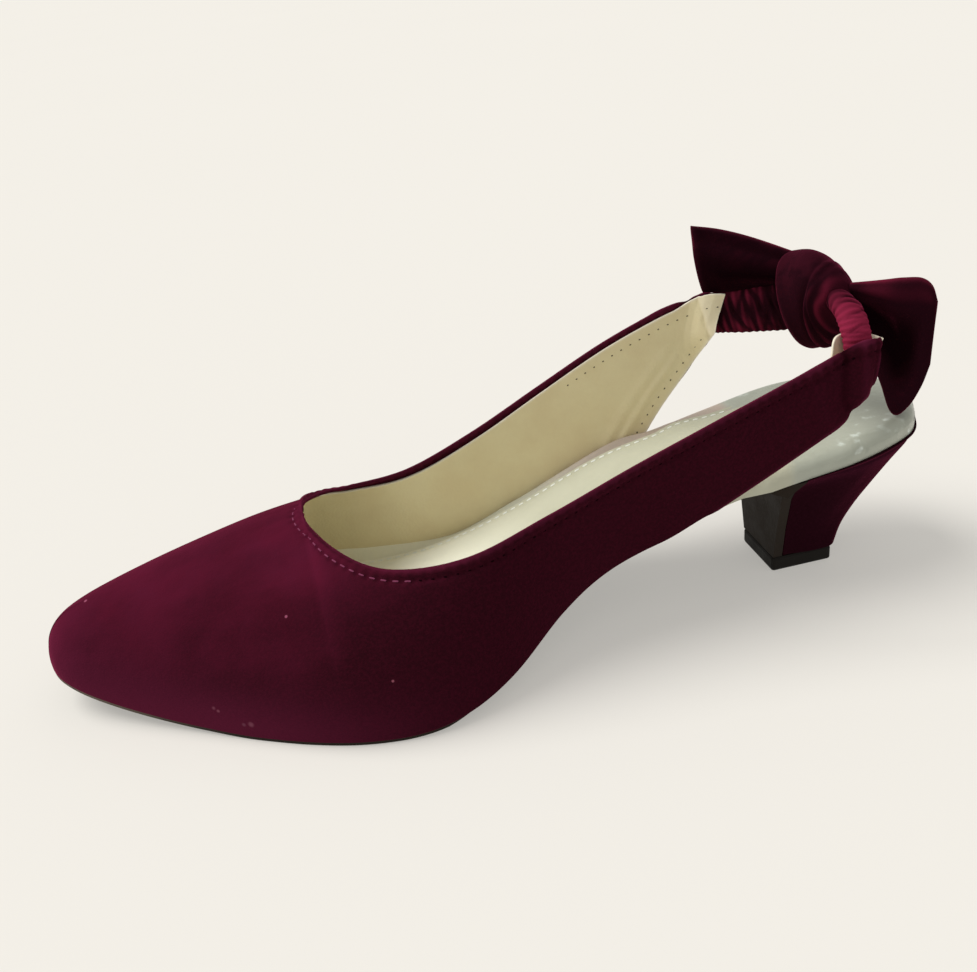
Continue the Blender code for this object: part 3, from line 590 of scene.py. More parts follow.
def outline_y(side, x):
    """Signed half width of the sole at x."""
    plan = outline_side(side)[::-1]
    order = np.maximum.accumulate(plan[:, 0])
    return np.interp(x, order, plan[:, 1])


def vamp_rows(side):
    """Sections from the toe tip to the throat: equal shares of the sole edge and of the ridge line."""
    plan = outline_side(side)
    xy = even_points(plan[plan[:, 0] >= RIDGE[-1].x], VAMP_ROWS + 1)
    low = np.column_stack([xy, feather_z(xy[:, 0]) + RIM_LIFT])
    top = curve_through(RIDGE, np.linspace(0, len(RIDGE) - 1, VAMP_ROWS + 1))
    return low, top, np.ones(VAMP_ROWS + 1)


def wall_rows(side):
    """Sections from the throat to the strap end."""
    walls, straps = (OUTER_WALL, OUTER_STRAP) if side > 0 else (INNER_WALL, INNER_STRAP)
    other = INNER_WALL[0] if side > 0 else OUTER_WALL[0]
    throat = RIDGE[-1]
    count = len(walls) + len(straps)
    places = np.linspace(0, count, WALL_ROWS + 1)[1:]
    topline = [other[1:4], throat] + [row[1:4] for row in walls] + [row[3:6] for row in straps]
    top = curve_through(topline, places + 1)
    arches = [1.0, 1.0] + [w.arch for w in walls] + [0.0] * len(straps)
    arch = smooth(np.arange(-1.0, count + 1), arches, places)
    sole_x = [throat.x] + [w.sole_x for w in walls]
    on_sole = places <= len(walls)
    x = np.interp(places[on_sole], range(len(sole_x)), sole_x)
    x = np.append(x, sole_x[-1])
    rise = RIM_RISE * (1 - ramp(x, sole_x[-1], sole_x[-1] + RIM_RISE_REACH))
    edge = np.column_stack([x, outline_y(side, x), feather_z(x) + RIM_LIFT + rise])
    leave = edge[-1]
    free = curve_through([leave] + [row[:3] for row in straps], places[~on_sole] - len(walls))
    return np.vstack([edge[:-1], free]), top, arch


def crown_controls(low, top, side, arch, slope):
    """Inner control points of sections between their lower and top points."""
    rise = top - low
    flat = rise * (1, 1, 0)
    up = np.array([0.0, 0.0, 1.0])
    weight = arch[:, None]
    belly = BELLY * (1 - weight) * np.array([0.0, side, 0.0])
    upright = TOE_SIDE * rise[:, 2:] * up - TOE_LEAN * flat
    first = low + (1 - weight) * rise / 3 + weight * upright + belly
    level = TOE_CROWN + (INNER_CROWN if side < 0 else 0.0)
    along = level * (flat + slope[:, None] * flat[:, :1] * up)
    second = top - (1 - weight) * rise / 3 - weight * along + belly
    return first, second


def bezier(low, first, second, top, t):
    low, first, second, top = (p[:, None, :] for p in (low, first, second, top))
    t = t[None, :, None]
    return low * (1 - t) ** 3 + 3 * first * t * (1 - t) ** 2 + 3 * second * t**2 * (1 - t) + top * t**3


def ease_throat(side, low, top):
    """Topline beside the throat laid on the vamp's own crown, so that the sections next to it don't curl."""
    throat = np.array(RIDGE[-1])
    here = slice(VAMP_ROWS, VAMP_ROWS + 1)
    first, second = crown_controls(low[here], top[here], side, np.ones(1), np.zeros(1))
    crown = bezier(low[here], first, second, top[here], np.linspace(0, 1, 200))[0]
    order = np.argsort(crown[:, 1])
    pitch = (RIDGE[-1].z - RIDGE[-2].z) / (RIDGE[-1].x - RIDGE[-2].x)
    made = top.copy()
    rest = made[VAMP_ROWS:]
    off = rest[:, 1] - throat[1]
    share = 1 - ramp(np.abs(off), *THROAT_REACH)
    x = throat[0] - THROAT_ROUND * off**2
    z = np.interp(rest[:, 1], crown[order, 1], crown[order, 2]) + pitch * (x - throat[0])
    rest[:, 0] += share * (x - rest[:, 0])
    rest[:, 2] += share * (z - rest[:, 2])
    return made


def upper_sections(side):
    """Grid of points over one side of the upper, a row for each section from its lower to its top edge."""
    parts = [vamp_rows(side), wall_rows(side)]
    low, top, arch = (np.concatenate([part[k] for part in parts]) for k in range(3))
    slope = np.gradient(top[:, 2]) / np.gradient(top[:, 0]) * (arch == 1)
    top = ease_throat(side, low, top)
    first, second = crown_controls(low, top, side, arch, slope)
    t = 1 - (1 - np.linspace(0, 1, RIB_STEPS + 1)) ** RIB_CROWD
    return bezier(low, first, second, top, t)


def unit(vectors):
    return vectors / np.maximum(np.linalg.norm(vectors, axis=-1, keepdims=True), 1e-9)


def bell(values, middle, width):
    return np.exp(-(((values - middle) / width) ** 2))


def ramp(values, start, end):
    """Smooth step from 0 at start to 1 at end."""
    t = np.clip((np.asarray(values, float) - start) / (end - start), 0, 1)
    return t * t * (3 - 2 * t)


def walk(line):
    """Length walked along a line up to each of its points."""
    return np.concatenate([[0], np.cumsum(np.linalg.norm(np.diff(line, axis=0), axis=1))])


def at_lengths(line, lengths):
    """Points of a line at given lengths along it."""
    walked = walk(line)
    return np.stack([np.interp(lengths, walked, line[:, k]) for k in range(line.shape[1])], axis=1)


def even_points(line, count):
    """The line read at equal steps of its length."""
    return at_lengths(line, np.linspace(0, walk(line)[-1], count))


def tree_of(points):
    """Search tree over points."""
    tree = KDTree(len(points))
    for k, point in enumerate(points):
        tree.insert(point, k)
    tree.balance()
    return tree


def nearest(line, points):
    """Distance of each point from a line, and how far along the line its nearest place is."""
    length = walk(line)[-1]
    samples = even_points(line, int(length / SAMPLE_STEP) + 2)
    tree = tree_of(samples)
    found = np.array([tree.find(p)[1:] for p in points])
    return found[:, 1], found[:, 0] * length / (len(samples) - 1)


def grid_quads(numbers):
    """Quads over a grid of point numbers."""
    corners = (numbers[:-1, :-1], numbers[:-1, 1:], numbers[1:, 1:], numbers[1:, :-1])
    return np.stack(corners, axis=-1).reshape(-1, 4)


def point_normals(points, quads):
    diagonals = points[quads[:, 2]] - points[quads[:, 0]], points[quads[:, 3]] - points[quads[:, 1]]
    flat = np.cross(*diagonals)
    total = np.zeros_like(points)
    for k in range(4):
        np.add.at(total, quads[:, k], flat)
    return unit(total)


def loft_faces(rows, columns):
    """Faces of a tube of closed rings with a fan at each end, whose middles are the last two points."""
    numbers = np.arange(rows * columns).reshape(rows, columns)
    faces = grid_quads(np.hstack([numbers, numbers[:, :1]])).tolist()
    for ring, middle in ((numbers[0][::-1], rows * columns), (numbers[-1], rows * columns + 1)):
        faces += [(middle, int(a), int(b)) for a, b in zip(ring, np.roll(ring, -1))]
    return faces


def loft(rings):
    """Points and faces of a closed tube through rings of equal length."""
    rings = np.asarray(rings)
    ends = np.stack([rings[0].mean(axis=0), rings[-1].mean(axis=0)])
    return np.vstack([rings.reshape(-1, 3), ends]), loft_faces(*rings.shape[:2])


def trim(points, faces, field):
    """Part of a mesh where the field is positive: faces that cross zero are cut there."""
    made = list(points)
    cuts = {}

    def cut(a, b):
        key = (min(a, b), max(a, b))
        if key not in cuts:
            share = field[a] / (field[a] - field[b])
            cuts[key] = len(made)
            made.append(points[a] * (1 - share) + points[b] * share)
        return cuts[key]

    kept = []
    for face in faces:
        ring = []
        for a, b in zip(face, np.roll(face, -1)):
            if field[a] > 0:
                ring.append(int(a))
            if (field[a] > 0) != (field[b] > 0):
                ring.append(cut(int(a), int(b)))
        ring = list(dict.fromkeys(ring))
        if len(ring) > 2:
            kept.append(ring)
    return np.array(made), kept


def add_piece(name, shape, finish, stands_for=(), closed=True, crease=60.0):
    """One named mesh on the shoe's body. Closed shapes have their faces turned outward, and edges over the
    crease angle stay sharp."""
    points, faces = shape
    mesh = bpy.data.meshes.new(name)
    placed = (np.asarray(points) + SHIFT) * MM
    clean = [tuple(dict.fromkeys(int(v) for v in face)) for face in faces]
    mesh.from_pydata(placed.tolist(), [], [face for face in clean if len(face) > 2])
    bm = bmesh.new()
    bm.from_mesh(mesh)
    bmesh.ops.remove_doubles(bm, verts=bm.verts, dist=WELD * MM)
    loose = [v for v in bm.verts if not v.link_faces]
    bmesh.ops.delete(bm, geom=loose, context="VERTS")
    if closed:
        bmesh.ops.recalc_face_normals(bm, faces=bm.faces)
    bm.to_mesh(mesh)
    bm.free()
    mesh.shade_smooth()
    mesh.set_sharp_from_angle(angle=math.radians(crease))
    mesh.materials.append(finish)
    made = bpy.data.objects.new(name, mesh)
    bpy.context.scene.collection.objects.link(made)
    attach(made, "root")
    if stands_for:
        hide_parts(*stands_for)
    return made


def thicken(made, thickness):
    """Sheet thickness towards the inside."""
    shell = made.modifiers.new("thickness", "SOLIDIFY")
    shell.thickness = thickness * MM
    shell.offset = -1.0


def round_edges(made, width, segments):
    """Rounding of a piece's sharp edges."""
    edges = made.modifiers.new("rounding", "BEVEL")
    edges.width = width * MM
    edges.segments = segments
    edges.limit_method = "ANGLE"
    edges.angle_limit = math.radians(BEVEL_ANGLE)
    edges.harden_normals = False


class Paint:
    """A material on a Principled shader, with short calls for its nodes. Sizes are millimetres."""

    def __init__(self, name, **values):
        self.material = bpy.data.materials.new(name)
        self.material.use_nodes = True
        self.nodes = self.material.node_tree.nodes
        self.links = self.material.node_tree.links
        self.shader = self.nodes["Principled BSDF"]
        self.set(**values)

    def set(self, **values):
        """Shader inputs by name, with an underscore for each space."""
        for socket, value in values.items():
            self.feed(self.shader.inputs[socket.replace("_", " ")], value)

    def feed(self, socket, value):
        if isinstance(value, bpy.types.NodeSocket):
            self.links.new(value, socket)
        elif socket.type == "RGBA":
            socket.default_value = (*value, 1.0)
        else:
            socket.default_value = value

    def node(self, kind, inputs=None, **settings):
        made = self.nodes.new(kind)
        for key, value in settings.items():
            setattr(made, key, value)
        for key, value in (inputs or {}).items():
            self.feed(made.inputs[key], value)
        return made

    def where(self):
        return self.node("ShaderNodeTexCoord").outputs["Object"]

    def split(self, vector):
        return self.node("ShaderNodeSeparateXYZ", {0: vector}).outputs

    def place(self, sizes):
        scale = tuple(1 / (size * MM) for size in sizes)
        return self.node("ShaderNodeMapping", {"Vector": self.where(), "Scale": scale}).outputs[0]

    def noise(self, size, detail=2.0, rough=0.5, stretch=(1.0, 1.0, 1.0)):
        sizes = tuple(size * s for s in stretch)
        inputs = {"Vector": self.place(sizes), "Scale": 1.0, "Detail": detail, "Roughness": rough}
        return self.node("ShaderNodeTexNoise", inputs).outputs["Fac"]

    def cells(self, size):
        inputs = {"Vector": self.place((size, size, size)), "Scale": 1.0}
        return self.node("ShaderNodeTexVoronoi", inputs).outputs["Distance"]

    def mix(self, share, first, second):
        return self.node("ShaderNodeMix", {0: share, 6: first, 7: second}, data_type="RGBA").outputs[2]

    def spread(self, value, low, high, to_low=0.0, to_high=1.0):
        inputs = {"Value": value, "From Min": low, "From Max": high, "To Min": to_low, "To Max": to_high}
        return self.node("ShaderNodeMapRange", inputs, interpolation_type="SMOOTHSTEP").outputs[0]

    def math(self, operation, first, second=0.0):
        return self.node("ShaderNodeMath", {0: first, 1: second}, operation=operation).outputs[0]

    def attribute(self, name):
        return self.node("ShaderNodeAttribute", attribute_name=name).outputs["Fac"]

    def near(self, spot, radius, soft):
        """1 within a radius of a place on the shoe, fading to 0 over the soft width."""
        middle = tuple((np.array(spot) + SHIFT) * MM)
        ends = {0: self.where(), 1: middle}
        gap = self.node("ShaderNodeVectorMath", ends, operation="DISTANCE").outputs["Value"]
        return self.spread(gap, radius * MM, (radius + soft) * MM, 1.0, 0.0)

    def bump(self, height, depth, under=None):
        inputs = {"Height": height, "Strength": 1.0, "Distance": depth * MM}
        if under is not None:
            inputs["Normal"] = under
        return self.node("ShaderNodeBump", inputs).outputs[0]


def tinted(colour, factors):
    return tuple(np.multiply(colour, factors).tolist())


def stations(*xs):
    """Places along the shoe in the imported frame's metres."""
    return [(x + SHIFT[0]) * MM for x in xs]


def velvet(name, deep, lit_tone, rubbed_lit_tone, patch, specks=()):
    """Short-napped velvet under a tinted sheen, with random patches and a fine grain, and with light and
    shade
    painted into its colour: faces turned to the key light are mixed from the deep, shaded tone towards the
    lit one, rubbed edges and painted highlights are lighter, and folds, creases and grooves are darkened as
    painted shade."""
    paint = Paint(name, Roughness=0.95, Specular_IOR_Level=0.0)
    paint.set(Sheen_Weight=0.3, Sheen_Roughness=0.32, Sheen_Tint=SHEEN_TINT)
    patches = paint.noise(patch.size, detail=3.0, rough=0.55, stretch=(1.6, 1.0, 1.0))
    uneven = paint.spread(patches, 0.3, 0.7, -patch.strength, patch.strength)
    # painted light: this point attribute mixes the deep, shaded tone towards the lit one on faces turned to
    # the key light; the random patches are the pile's own
    lit_and_patchy = paint.math("ADD", paint.attribute("light_facing"), uneven)
    lit = paint.mix(paint.noise(13.0, detail=4.0, rough=0.6), lit_tone, tinted(lit_tone, COLD_CAST))
    colour = paint.mix(paint.spread(lit_and_patchy, 0.40, 1.02), deep, lit)
    grain = paint.noise(0.7, detail=2.0, rough=0.6)
    colour = paint.mix(paint.spread(grain, 0.3, 0.75, 0.0, 0.22), colour, lit_tone)
    # above zero: rubbed edges and painted highlights, mixed towards the rubbed and lit tone; below zero:
    # painted shade in folds, creases and grooves
    wear_light_shade = paint.attribute("wear_light_shade")
    colour = paint.mix(paint.spread(wear_light_shade, 0.0, 1.0, 0.0, 0.8), colour, rubbed_lit_tone)
    colour = paint.mix(paint.spread(wear_light_shade, -1.0, 0.0, 0.85, 0.0), colour, tinted(deep, FOLD_SHADE))
    for speck in specks:
        colour = paint.mix(paint.near(speck[:3], speck.radius, speck.soft), colour, speck.colour)
    pile = paint.noise(0.45, detail=3.0, rough=0.65, stretch=(1.5, 1.0, 1.0))
    ruffle = paint.bump(paint.noise(5.0, detail=2.0), 0.25)
    paint.set(Base_Color=colour, Normal=paint.bump(pile, 0.11, ruffle))
    return paint.material


def leather(name, colour, shade, edge, roughness, grain, depth):
    """Smooth leather: cloudy colour, fine grain and uneven gloss, paler where the attribute edge is set: on
    pale edges that are partly painted highlight, and as painted light where the leather lies in shade.
    """
    paint = Paint(name, Specular_IOR_Level=0.4)
    clouds = paint.noise(18.0, detail=4.0, rough=0.6)
    fine = paint.noise(1.1, detail=2.0)
    base = paint.mix(paint.spread(clouds, 0.35, 0.7), colour, shade)
    base = paint.mix(paint.spread(fine, 0.45, 0.8, 0.0, 0.25), base, shade)
    base = paint.mix(paint.attribute("edge"), base, edge)
    gloss = paint.spread(clouds, 0.3, 0.7, roughness - 0.06, roughness + 0.08)
    paint.set(Base_Color=base, Roughness=gloss, Normal=paint.bump(paint.cells(grain), depth))
    return paint.material


def board_leather():
    """Insole edge: grey-tan beside the sock, flesh-brown at the waist, pale under the vamp as painted light,
    pearly round the seat with painted glints.
    """
    paint = Paint("board_leather", Specular_IOR_Level=0.5, Coat_Weight=0.15, Coat_Roughness=0.3)
    along, across = paint.split(paint.where())[:2]
    at_waist = paint.spread(along, *stations(*WAIST_FADE), 1.0, 0.0)
    fleshy = paint.math("MULTIPLY", at_waist, paint.spread(across, WAIST_SIDE * MM, 0.0, 1.0, 0.0))
    colour = paint.mix(paint.spread(along, *stations(*FRONT_FADE)), SHADED_BALL_BORDER, LIT_FRONT_BORDER)
    colour = paint.mix(fleshy, colour, WAIST_BORDER)
    pearl = paint.mix(paint.noise(7.0, detail=3.0), *PEARL)
    seat = paint.spread(along, *stations(*PEARL_FADE), 1.0, 0.0)
    colour = paint.mix(seat, colour, pearl)
    # painted glints: pale blotches round the seat stand in for highlights on the pearly finish
    blotches = paint.spread(paint.noise(3.2, detail=2.0, rough=0.5), 0.5, 0.78)
    patch = paint.spread(paint.noise(9.0, detail=1.0), 0.48, 0.64)
    glint = paint.math("MULTIPLY", paint.math("MULTIPLY", blotches, patch), seat)
    creases = paint.noise(3.0, detail=3.0, rough=0.6, stretch=(1.0, 1.0, 2.0))
    paint.set(
        Base_Color=paint.mix(glint, colour, PEARL_GLINT),
        Roughness=paint.spread(seat, 0.0, 1.0, 0.55, 0.34),
        Normal=paint.bump(creases, 0.3),
    )
    return paint.material


def sole_leather(name, face, toe_edge, edge, roughness):
    """Dark sole leather, whose cut edge is paler at the toe."""
    paint = Paint(name, Specular_IOR_Level=0.1)
    turned = paint.node("ShaderNodeNewGeometry").outputs["Normal"]
    upright = paint.spread(paint.math("ABSOLUTE", paint.split(turned)[2]), 0.3, 0.7, 1.0, 0.0)
    along = paint.split(paint.where())[0]
    clouds = paint.noise(6.0, detail=4.0, rough=0.6)
    colour = paint.mix(paint.spread(clouds, 0.3, 0.7), face, tinted(face, SOLE_SHADE))
    edges = paint.mix(paint.spread(along, *stations(*SOLE_EDGE_FADE)), edge, toe_edge)
    cut = paint.math("MULTIPLY", upright, paint.spread(clouds, 0.25, 0.6, 0.6, 1.0))
    fibres = paint.noise(0.9, detail=3.0, stretch=(3.0, 1.0, 1.0))
    paint.set(
        Base_Color=paint.mix(cut, colour, edges),
        Roughness=paint.spread(clouds, 0.3, 0.7, roughness - 0.08, roughness + 0.08),
        Normal=paint.bump(fibres, 0.08),
    )
    return paint.material


def thread(name, colour, shade, gloss):
    """Twisted sewing thread."""
    paint = Paint(name, Roughness=0.7, Specular_IOR_Level=gloss)
    strands = paint.noise(0.35, detail=1.0, stretch=(2.0, 1.0, 1.0))
    paint.set(Base_Color=paint.mix(strands, shade, colour), Normal=paint.bump(strands, 0.08))
    return paint.material


Shell = namedtuple("Shell", "points normals quads numbers")
OUTER, INNER = 0, 1  # first index of a shell's numbers, and order of the straps' edges


def upper_shell():
    """Outer face of the upper: its points, outward normals, quads, and point numbers by side, row and rib."""
    grids = [upper_sections(side) for side in (1, -1)]
    stacked = np.concatenate([grid.reshape(-1, 3) for grid in grids])
    _, first, number = np.unique(np.round(stacked, 3), axis=0, return_index=True, return_inverse=True)
    points = stacked[first]
    numbers = number.reshape(2, *grids[0].shape[:2])
    quads = np.concatenate([grid_quads(numbers[OUTER][:, ::-1]), grid_quads(numbers[INNER])])
    return Shell(points, point_normals(points, quads), quads, numbers)


def free_edges(shell):
    """Topline from the inner strap to the outer one, then the straps' ends and lower edges."""
    top = [shell.points[side[VAMP_ROWS:, -1]] for side in shell.numbers]
    topline = np.vstack([top[INNER][::-1], top[OUTER][1:]])
    ends = [shell.points[side[-1]] for side in shell.numbers]
    leave = VAMP_ROWS + WALL_ROWS * len(OUTER_WALL) // (len(OUTER_WALL) + len(OUTER_STRAP))
    lows = [shell.points[side[leave:, 0]] for side in shell.numbers]
    return topline, ends, lows


def snap(shell, points):
    """Nearest places on a shell and its normals there."""
    tree = tree_of(shell.points)
    near = np.array([tree.find(p)[1] for p in points])
    normals = shell.normals[near]
    off = ((points - shell.points[near]) * normals).sum(axis=1)
    return points - off[:, None] * normals, normals


def even_out(values, reach):
    """Running mean over some neighbours on each side, with the ends held."""
    ends = [np.repeat(values[k : k + 1 or None], reach, axis=0) for k in (0, -1)]
    total = np.cumsum(np.vstack([0 * values[:1], ends[0], values, ends[1]]), axis=0)
    width = 2 * reach + 1
    return (total[width:] - total[:-width]) / width


def inset_line(shell, line, inset):
    """Line on a shell beside an edge, to the right of the way it runs seen from outside, with normals."""
    line = even_points(line, 2 * int(walk(line)[-1]))
    normals = even_out(snap(shell, line)[1], NORMAL_REACH)
    inward = unit(even_out(unit(np.cross(np.gradient(line, axis=0), normals)), ROW_REACH))
    row = even_out(snap(shell, line + inset * inward)[0], ROW_REACH)
    return snap(shell, row)


def full_turn(sides):
    return np.linspace(0, 2 * math.pi, sides, endpoint=False)


def ovals(turn, width, height, wide, deep):
    """Points of an oval at turns round it."""
    return np.outer(np.cos(turn) * width / 2, wide) + np.outer(np.sin(turn) * height / 2, deep)


def stitches(line, normals, pitch, size, keep):
    """Rounded stitches in a row, at the places to keep: size is length, width and height."""
    at = (np.arange(int(walk(line)[-1] / pitch)) + 0.5) * pitch
    places = at_lengths(line, at)
    ahead = unit(np.gradient(places, axis=0))
    up = unit(np.stack([np.interp(at, walk(line), normals[:, k]) for k in range(3)], axis=1))
    across = unit(np.cross(up, ahead))
    along = np.cos(np.linspace(0, math.pi, STITCH_RINGS + 2))[1:-1]
    thick = np.sqrt(1 - along**4)
    made = []
    for k, place in enumerate(places):
        if keep(place):
            oval = ovals(full_turn(STITCH_SIDES), size[1], size[2], across[k], up[k])
            made.append(loft([place + ahead[k] * a * size[0] / 2 + oval * r for a, r in zip(along, thick)]))
    return join(made)


def edge_ring(shell):
    """Point numbers once round the upper: along the outer side from the toe, back along the inner one."""
    outer, inner = shell.numbers
    there = [outer[:, 0], outer[-1, 1:], outer[VAMP_ROWS:-1, -1][::-1]]
    back = [inner[VAMP_ROWS + 1 :, -1], inner[-1, -2::-1], inner[-2:0:-1, 0]]
    return np.concatenate(there + back)


def folded_sheet(outside, inside, quads, ring):
    """Closed sheet between two faces, with a half-round edge along the ring."""
    middle, half = (outside + inside)[ring] / 2, (outside - inside)[ring] / 2
    ahead = np.roll(middle, -1, axis=0) - np.roll(middle, 1, axis=0)
    away = unit(np.cross(ahead, half)) * np.linalg.norm(half, axis=1, keepdims=True)
    turns = np.linspace(0, math.pi, EDGE_STEPS + 1)[1:-1]
    rounds = [middle + half * math.cos(turn) + away * math.sin(turn) for turn in turns]
    count = len(outside)
    numbers = [2 * count + k * len(ring) + np.arange(len(ring)) for k in range(len(rounds))]
    loops = np.array([ring, *numbers, ring + count])
    rim = grid_quads(np.hstack([loops, loops[:, :1]]))
    return np.vstack([outside, inside, *rounds]), np.vstack([quads, quads[:, ::-1] + count, rim])


def make_upper(finishes):
    """Velvet with a folded edge, its lining set back inside, and the stitch row under the topline."""
    shell = upper_shell()
    topline, ends, lows = free_edges(shell)
    from_top = nearest(topline, shell.points)[0]
    from_ends = [nearest(end, shell.points)[0] for end in ends]
    from_lows = [nearest(low, shell.points)[0] for low in lows]
    from_edge = np.minimum.reduce([from_top, *from_ends, *from_lows])
    row, row_normals = inset_line(shell, topline, STITCH_INSET)
    from_row, along_row = nearest(row, shell.points)

    pull = MEAN_PULL + (1 - MEAN_PULL) * np.cos(2 * math.pi * along_row / STITCH_PITCH)
    pucker = bell(from_top, *RIM_SWELL)
    channel = bell(from_row, 0.0, CHANNEL_WIDTH) * pull
    relief = RIM_PUFF * pucker * (PUFF_FREE - PUFF_PULL * pull) - STITCH_SINK * channel
    folds = np.zeros(len(shell.points))
    for from_end, from_low in zip(from_ends, from_lows):
        for fold in STRAP_FOLDS:
            away = from_end - fold.slant * from_low
            folds += fold.height * bell(away, fold.from_end, fold.width) * (from_end < FOLD_REACH)
        relief += HEM_PUFF * bell(from_low, *HEM_SWELL)
    relief += folds
    outside = shell.points + shell.normals * relief[:, None]
    inside = shell.points - shell.normals * VELVET_THICKNESS
    sheet = folded_sheet(outside, inside, shell.quads, edge_ring(shell))
    piece = add_piece("upper_velvet", sheet, finishes["velvet"], ["upper"])
    # rubbed edge with a painted highlight, painted highlights on the swells between stitches, painted shade
    # in the stitch channel, painted light and shade on strap folds
    wear_light_shade = EDGE_WEAR_AND_LIGHT * bell(from_edge, 0.0, CHANNEL_WIDTH) - CHANNEL_SHADE * channel + FOLD_LIGHT_AND_SHADE * folds
    wear_light_shade += PUCKER_HIGHLIGHT * pucker * (MEAN_PULL - pull)
    # painted light: lighter along the lower rim of the toe, fading towards the quarter
    low_rim = shell.points[shell.numbers[:, :, 0]].reshape(-1, 3)
    from_rim = nearest(low_rim[np.argsort(low_rim[:, 0])], shell.points)[0]
    wear_light_shade += TOE_LIGHT * bell(from_rim, 0.0, TOE_LIGHT_WIDTH) * ramp(shell.points[:, 0], *TOE_LIGHT_FADE)
    dress(piece, outside, wear_light_shade)

    seat = row - row_normals * STITCH_SEAT
    for name, size, keep in (
        ("throat_stitches", THROAT_STITCH, lambda p: p[0] > THROAT_STITCH_X),
        ("topline_stitches", TOPLINE_STITCH, lambda p: p[0] <= THROAT_STITCH_X),
    ):
        made = stitches(seat, row_normals, STITCH_PITCH, size, keep)
        add_piece(name, made, finishes[name])
    make_lining(finishes, shell, topline, lows, from_top, from_ends, from_lows)


def make_lining(finishes, shell, topline, lows, from_top, from_ends, from_lows):
    """Leather lining: edge set back from the folded velvet, and an end that opens over the band."""
    from_end, from_low = from_ends[INNER], from_lows[INNER]
    sunk = np.full(len(shell.points), LINING_DEPTH)
    for ridge in LINING_RIDGES:
        sunk += ridge.height * bell(from_low, ridge.inset, ridge.width) * ramp(from_end, *RIDGE_FADE)
    start, slant = TAB_CREASE
    past_crease = from_end - start - slant * from_low
    at_end = 1 - ramp(from_end, *TAB_FADE)
    sunk -= CREASE_HEIGHT * bell(past_crease, 0.0, CREASE_WIDTH) * at_end
    lift = np.interp(from_end, *zip(*TAB_LIFT))
    inside = shell.points - shell.normals * sunk[:, None] + np.outer(lift, TAB_WAY)
    inside[:, 2] -= HEM_DROP * bell(from_low, 0.0, HEM_DROP_WIDTH)
    from_hem = np.minimum.reduce([*from_ends, *from_lows])
    at_throat, at_strap = LINING_MARGIN
    margin = at_throat + (at_strap - at_throat) * ramp(-shell.points[:, 0], *np.negative(MARGIN_FADE))
    shown = np.minimum(from_top - margin * (1 - TAB_MARGIN_CUT * at_end), from_hem - LINING_HEM)
    shape = trim(inside, shell.quads, shown)
    made = add_piece("upper_lining", shape, finishes["lining"], closed=False)
    turned = TURNED_PALE * (1 - ramp(past_crease, *TURNED_FADE)) * at_end
    # pale cut edge, partly painted highlight, and the paler turned end
    set_attribute(made, "edge", inside, np.maximum(turned, bell(shown, 0.0, PALE_EDGE)))
    thicken(made, LINING_THICKNESS)
    holes = []
    hems = [(line, HEM_HOLE_INSET) for line in (lows[INNER], lows[OUTER][::-1])]
    for line, inset in [(topline, HOLE_INSET), *hems]:
        row, normals = inset_line(shell, line, inset)
        row_lift = np.interp(nearest(shell.points[shell.numbers[INNER][-1]], row)[0], *zip(*TAB_LIFT))
        row = row - normals * (LINING_DEPTH + LINING_THICKNESS) + np.outer(row_lift, TAB_WAY)
        holes.append(stitches(row, -normals, STITCH_PITCH, HOLE_SIZE, lambda p: p[0] < HOLE_X))
    add_piece("needle_holes", join(holes), finishes["holes"])
    make_tongue(finishes)


def join(shapes):
    """One mesh of several."""
    starts = np.cumsum([0] + [len(points) for points, _ in shapes])
    faces = [[start + v for v in face] for start, (_, faces) in zip(starts, shapes) for face in faces]
    return np.vstack([points for points, _ in shapes]), faces


def make_tongue(finishes):
    """End of the lining that stands up behind the band in the outer strap's mouth, painted pale all over as
    painted light.
    """
    rows, columns = TONGUE_GRID
    edges = curve_through(TONGUE, np.linspace(0, len(TONGUE) - 1, rows))
    t = np.linspace(0, 1, columns)[None, :, None]
    points = (edges[:, None, :3] * (1 - t) + edges[:, None, 3:] * t).reshape(-1, 3)
    faces = grid_quads(np.arange(rows * columns).reshape(rows, columns))
    made = add_piece("strap_tongue", (points, faces), finishes["lining"], closed=False)
    # painted light: the whole tongue takes the pale edge colour, lifting it out of its shade
    set_attribute(made, "edge", points, np.ones(len(points)))
    thicken(made, LINING_THICKNESS)


def set_attribute(made, name, points, values):
    """Float value on each point of a piece, read from the nearest of the given points."""
    tree = tree_of((points + SHIFT) * MM)
    near = [tree.find(v.co)[1] for v in made.data.vertices]
    layer = made.data.attributes.new(name, "FLOAT", "POINT")
    layer.data.foreach_set("value", np.asarray(values, np.float32)[near])


def dress(made, points, wear_light_shade, light_facing=LIT_FACING_WAY):
    """Painted light, painted shade and rubbed edges of a velvet piece, and how far each place faces the key
    light.
    """
    set_attribute(made, "wear_light_shade", points, wear_light_shade)
    normals = np.empty(3 * len(made.data.vertices), np.float32)
    made.data.vertices.foreach_get("normal", normals)
    layer = made.data.attributes.new("light_facing", "FLOAT", "POINT")
    layer.data.foreach_set("value", normals.reshape(-1, 3) @ unit(np.array(light_facing)).astype(np.float32))


def sole_edge(x, waist_inset):
    """Inner and outer side of the sole, which is cut back under the waist between the heel and the ball."""
    cut = SOLE_EDGE_INSET + waist_inset * np.interp(x, *zip(*WAIST))
    return [outline_y(side, x) - side * cut for side in (-1, 1)]


def cross_line(x, inner, outer, z):
    return np.array([[x, inner, z], [x, outer, z]])


def plate_loop(upper_line, lower_line, steps):
    """Closed loop round one cross-section of a plate: over the upper line, back along the lower one."""
    t = np.linspace(0, 1, steps + 1)[:, None]
    over = upper_line[0] * (1 - t) + upper_line[1] * t
    under = lower_line[1] * (1 - t) + lower_line[0] * t
    return np.vstack([over, under])


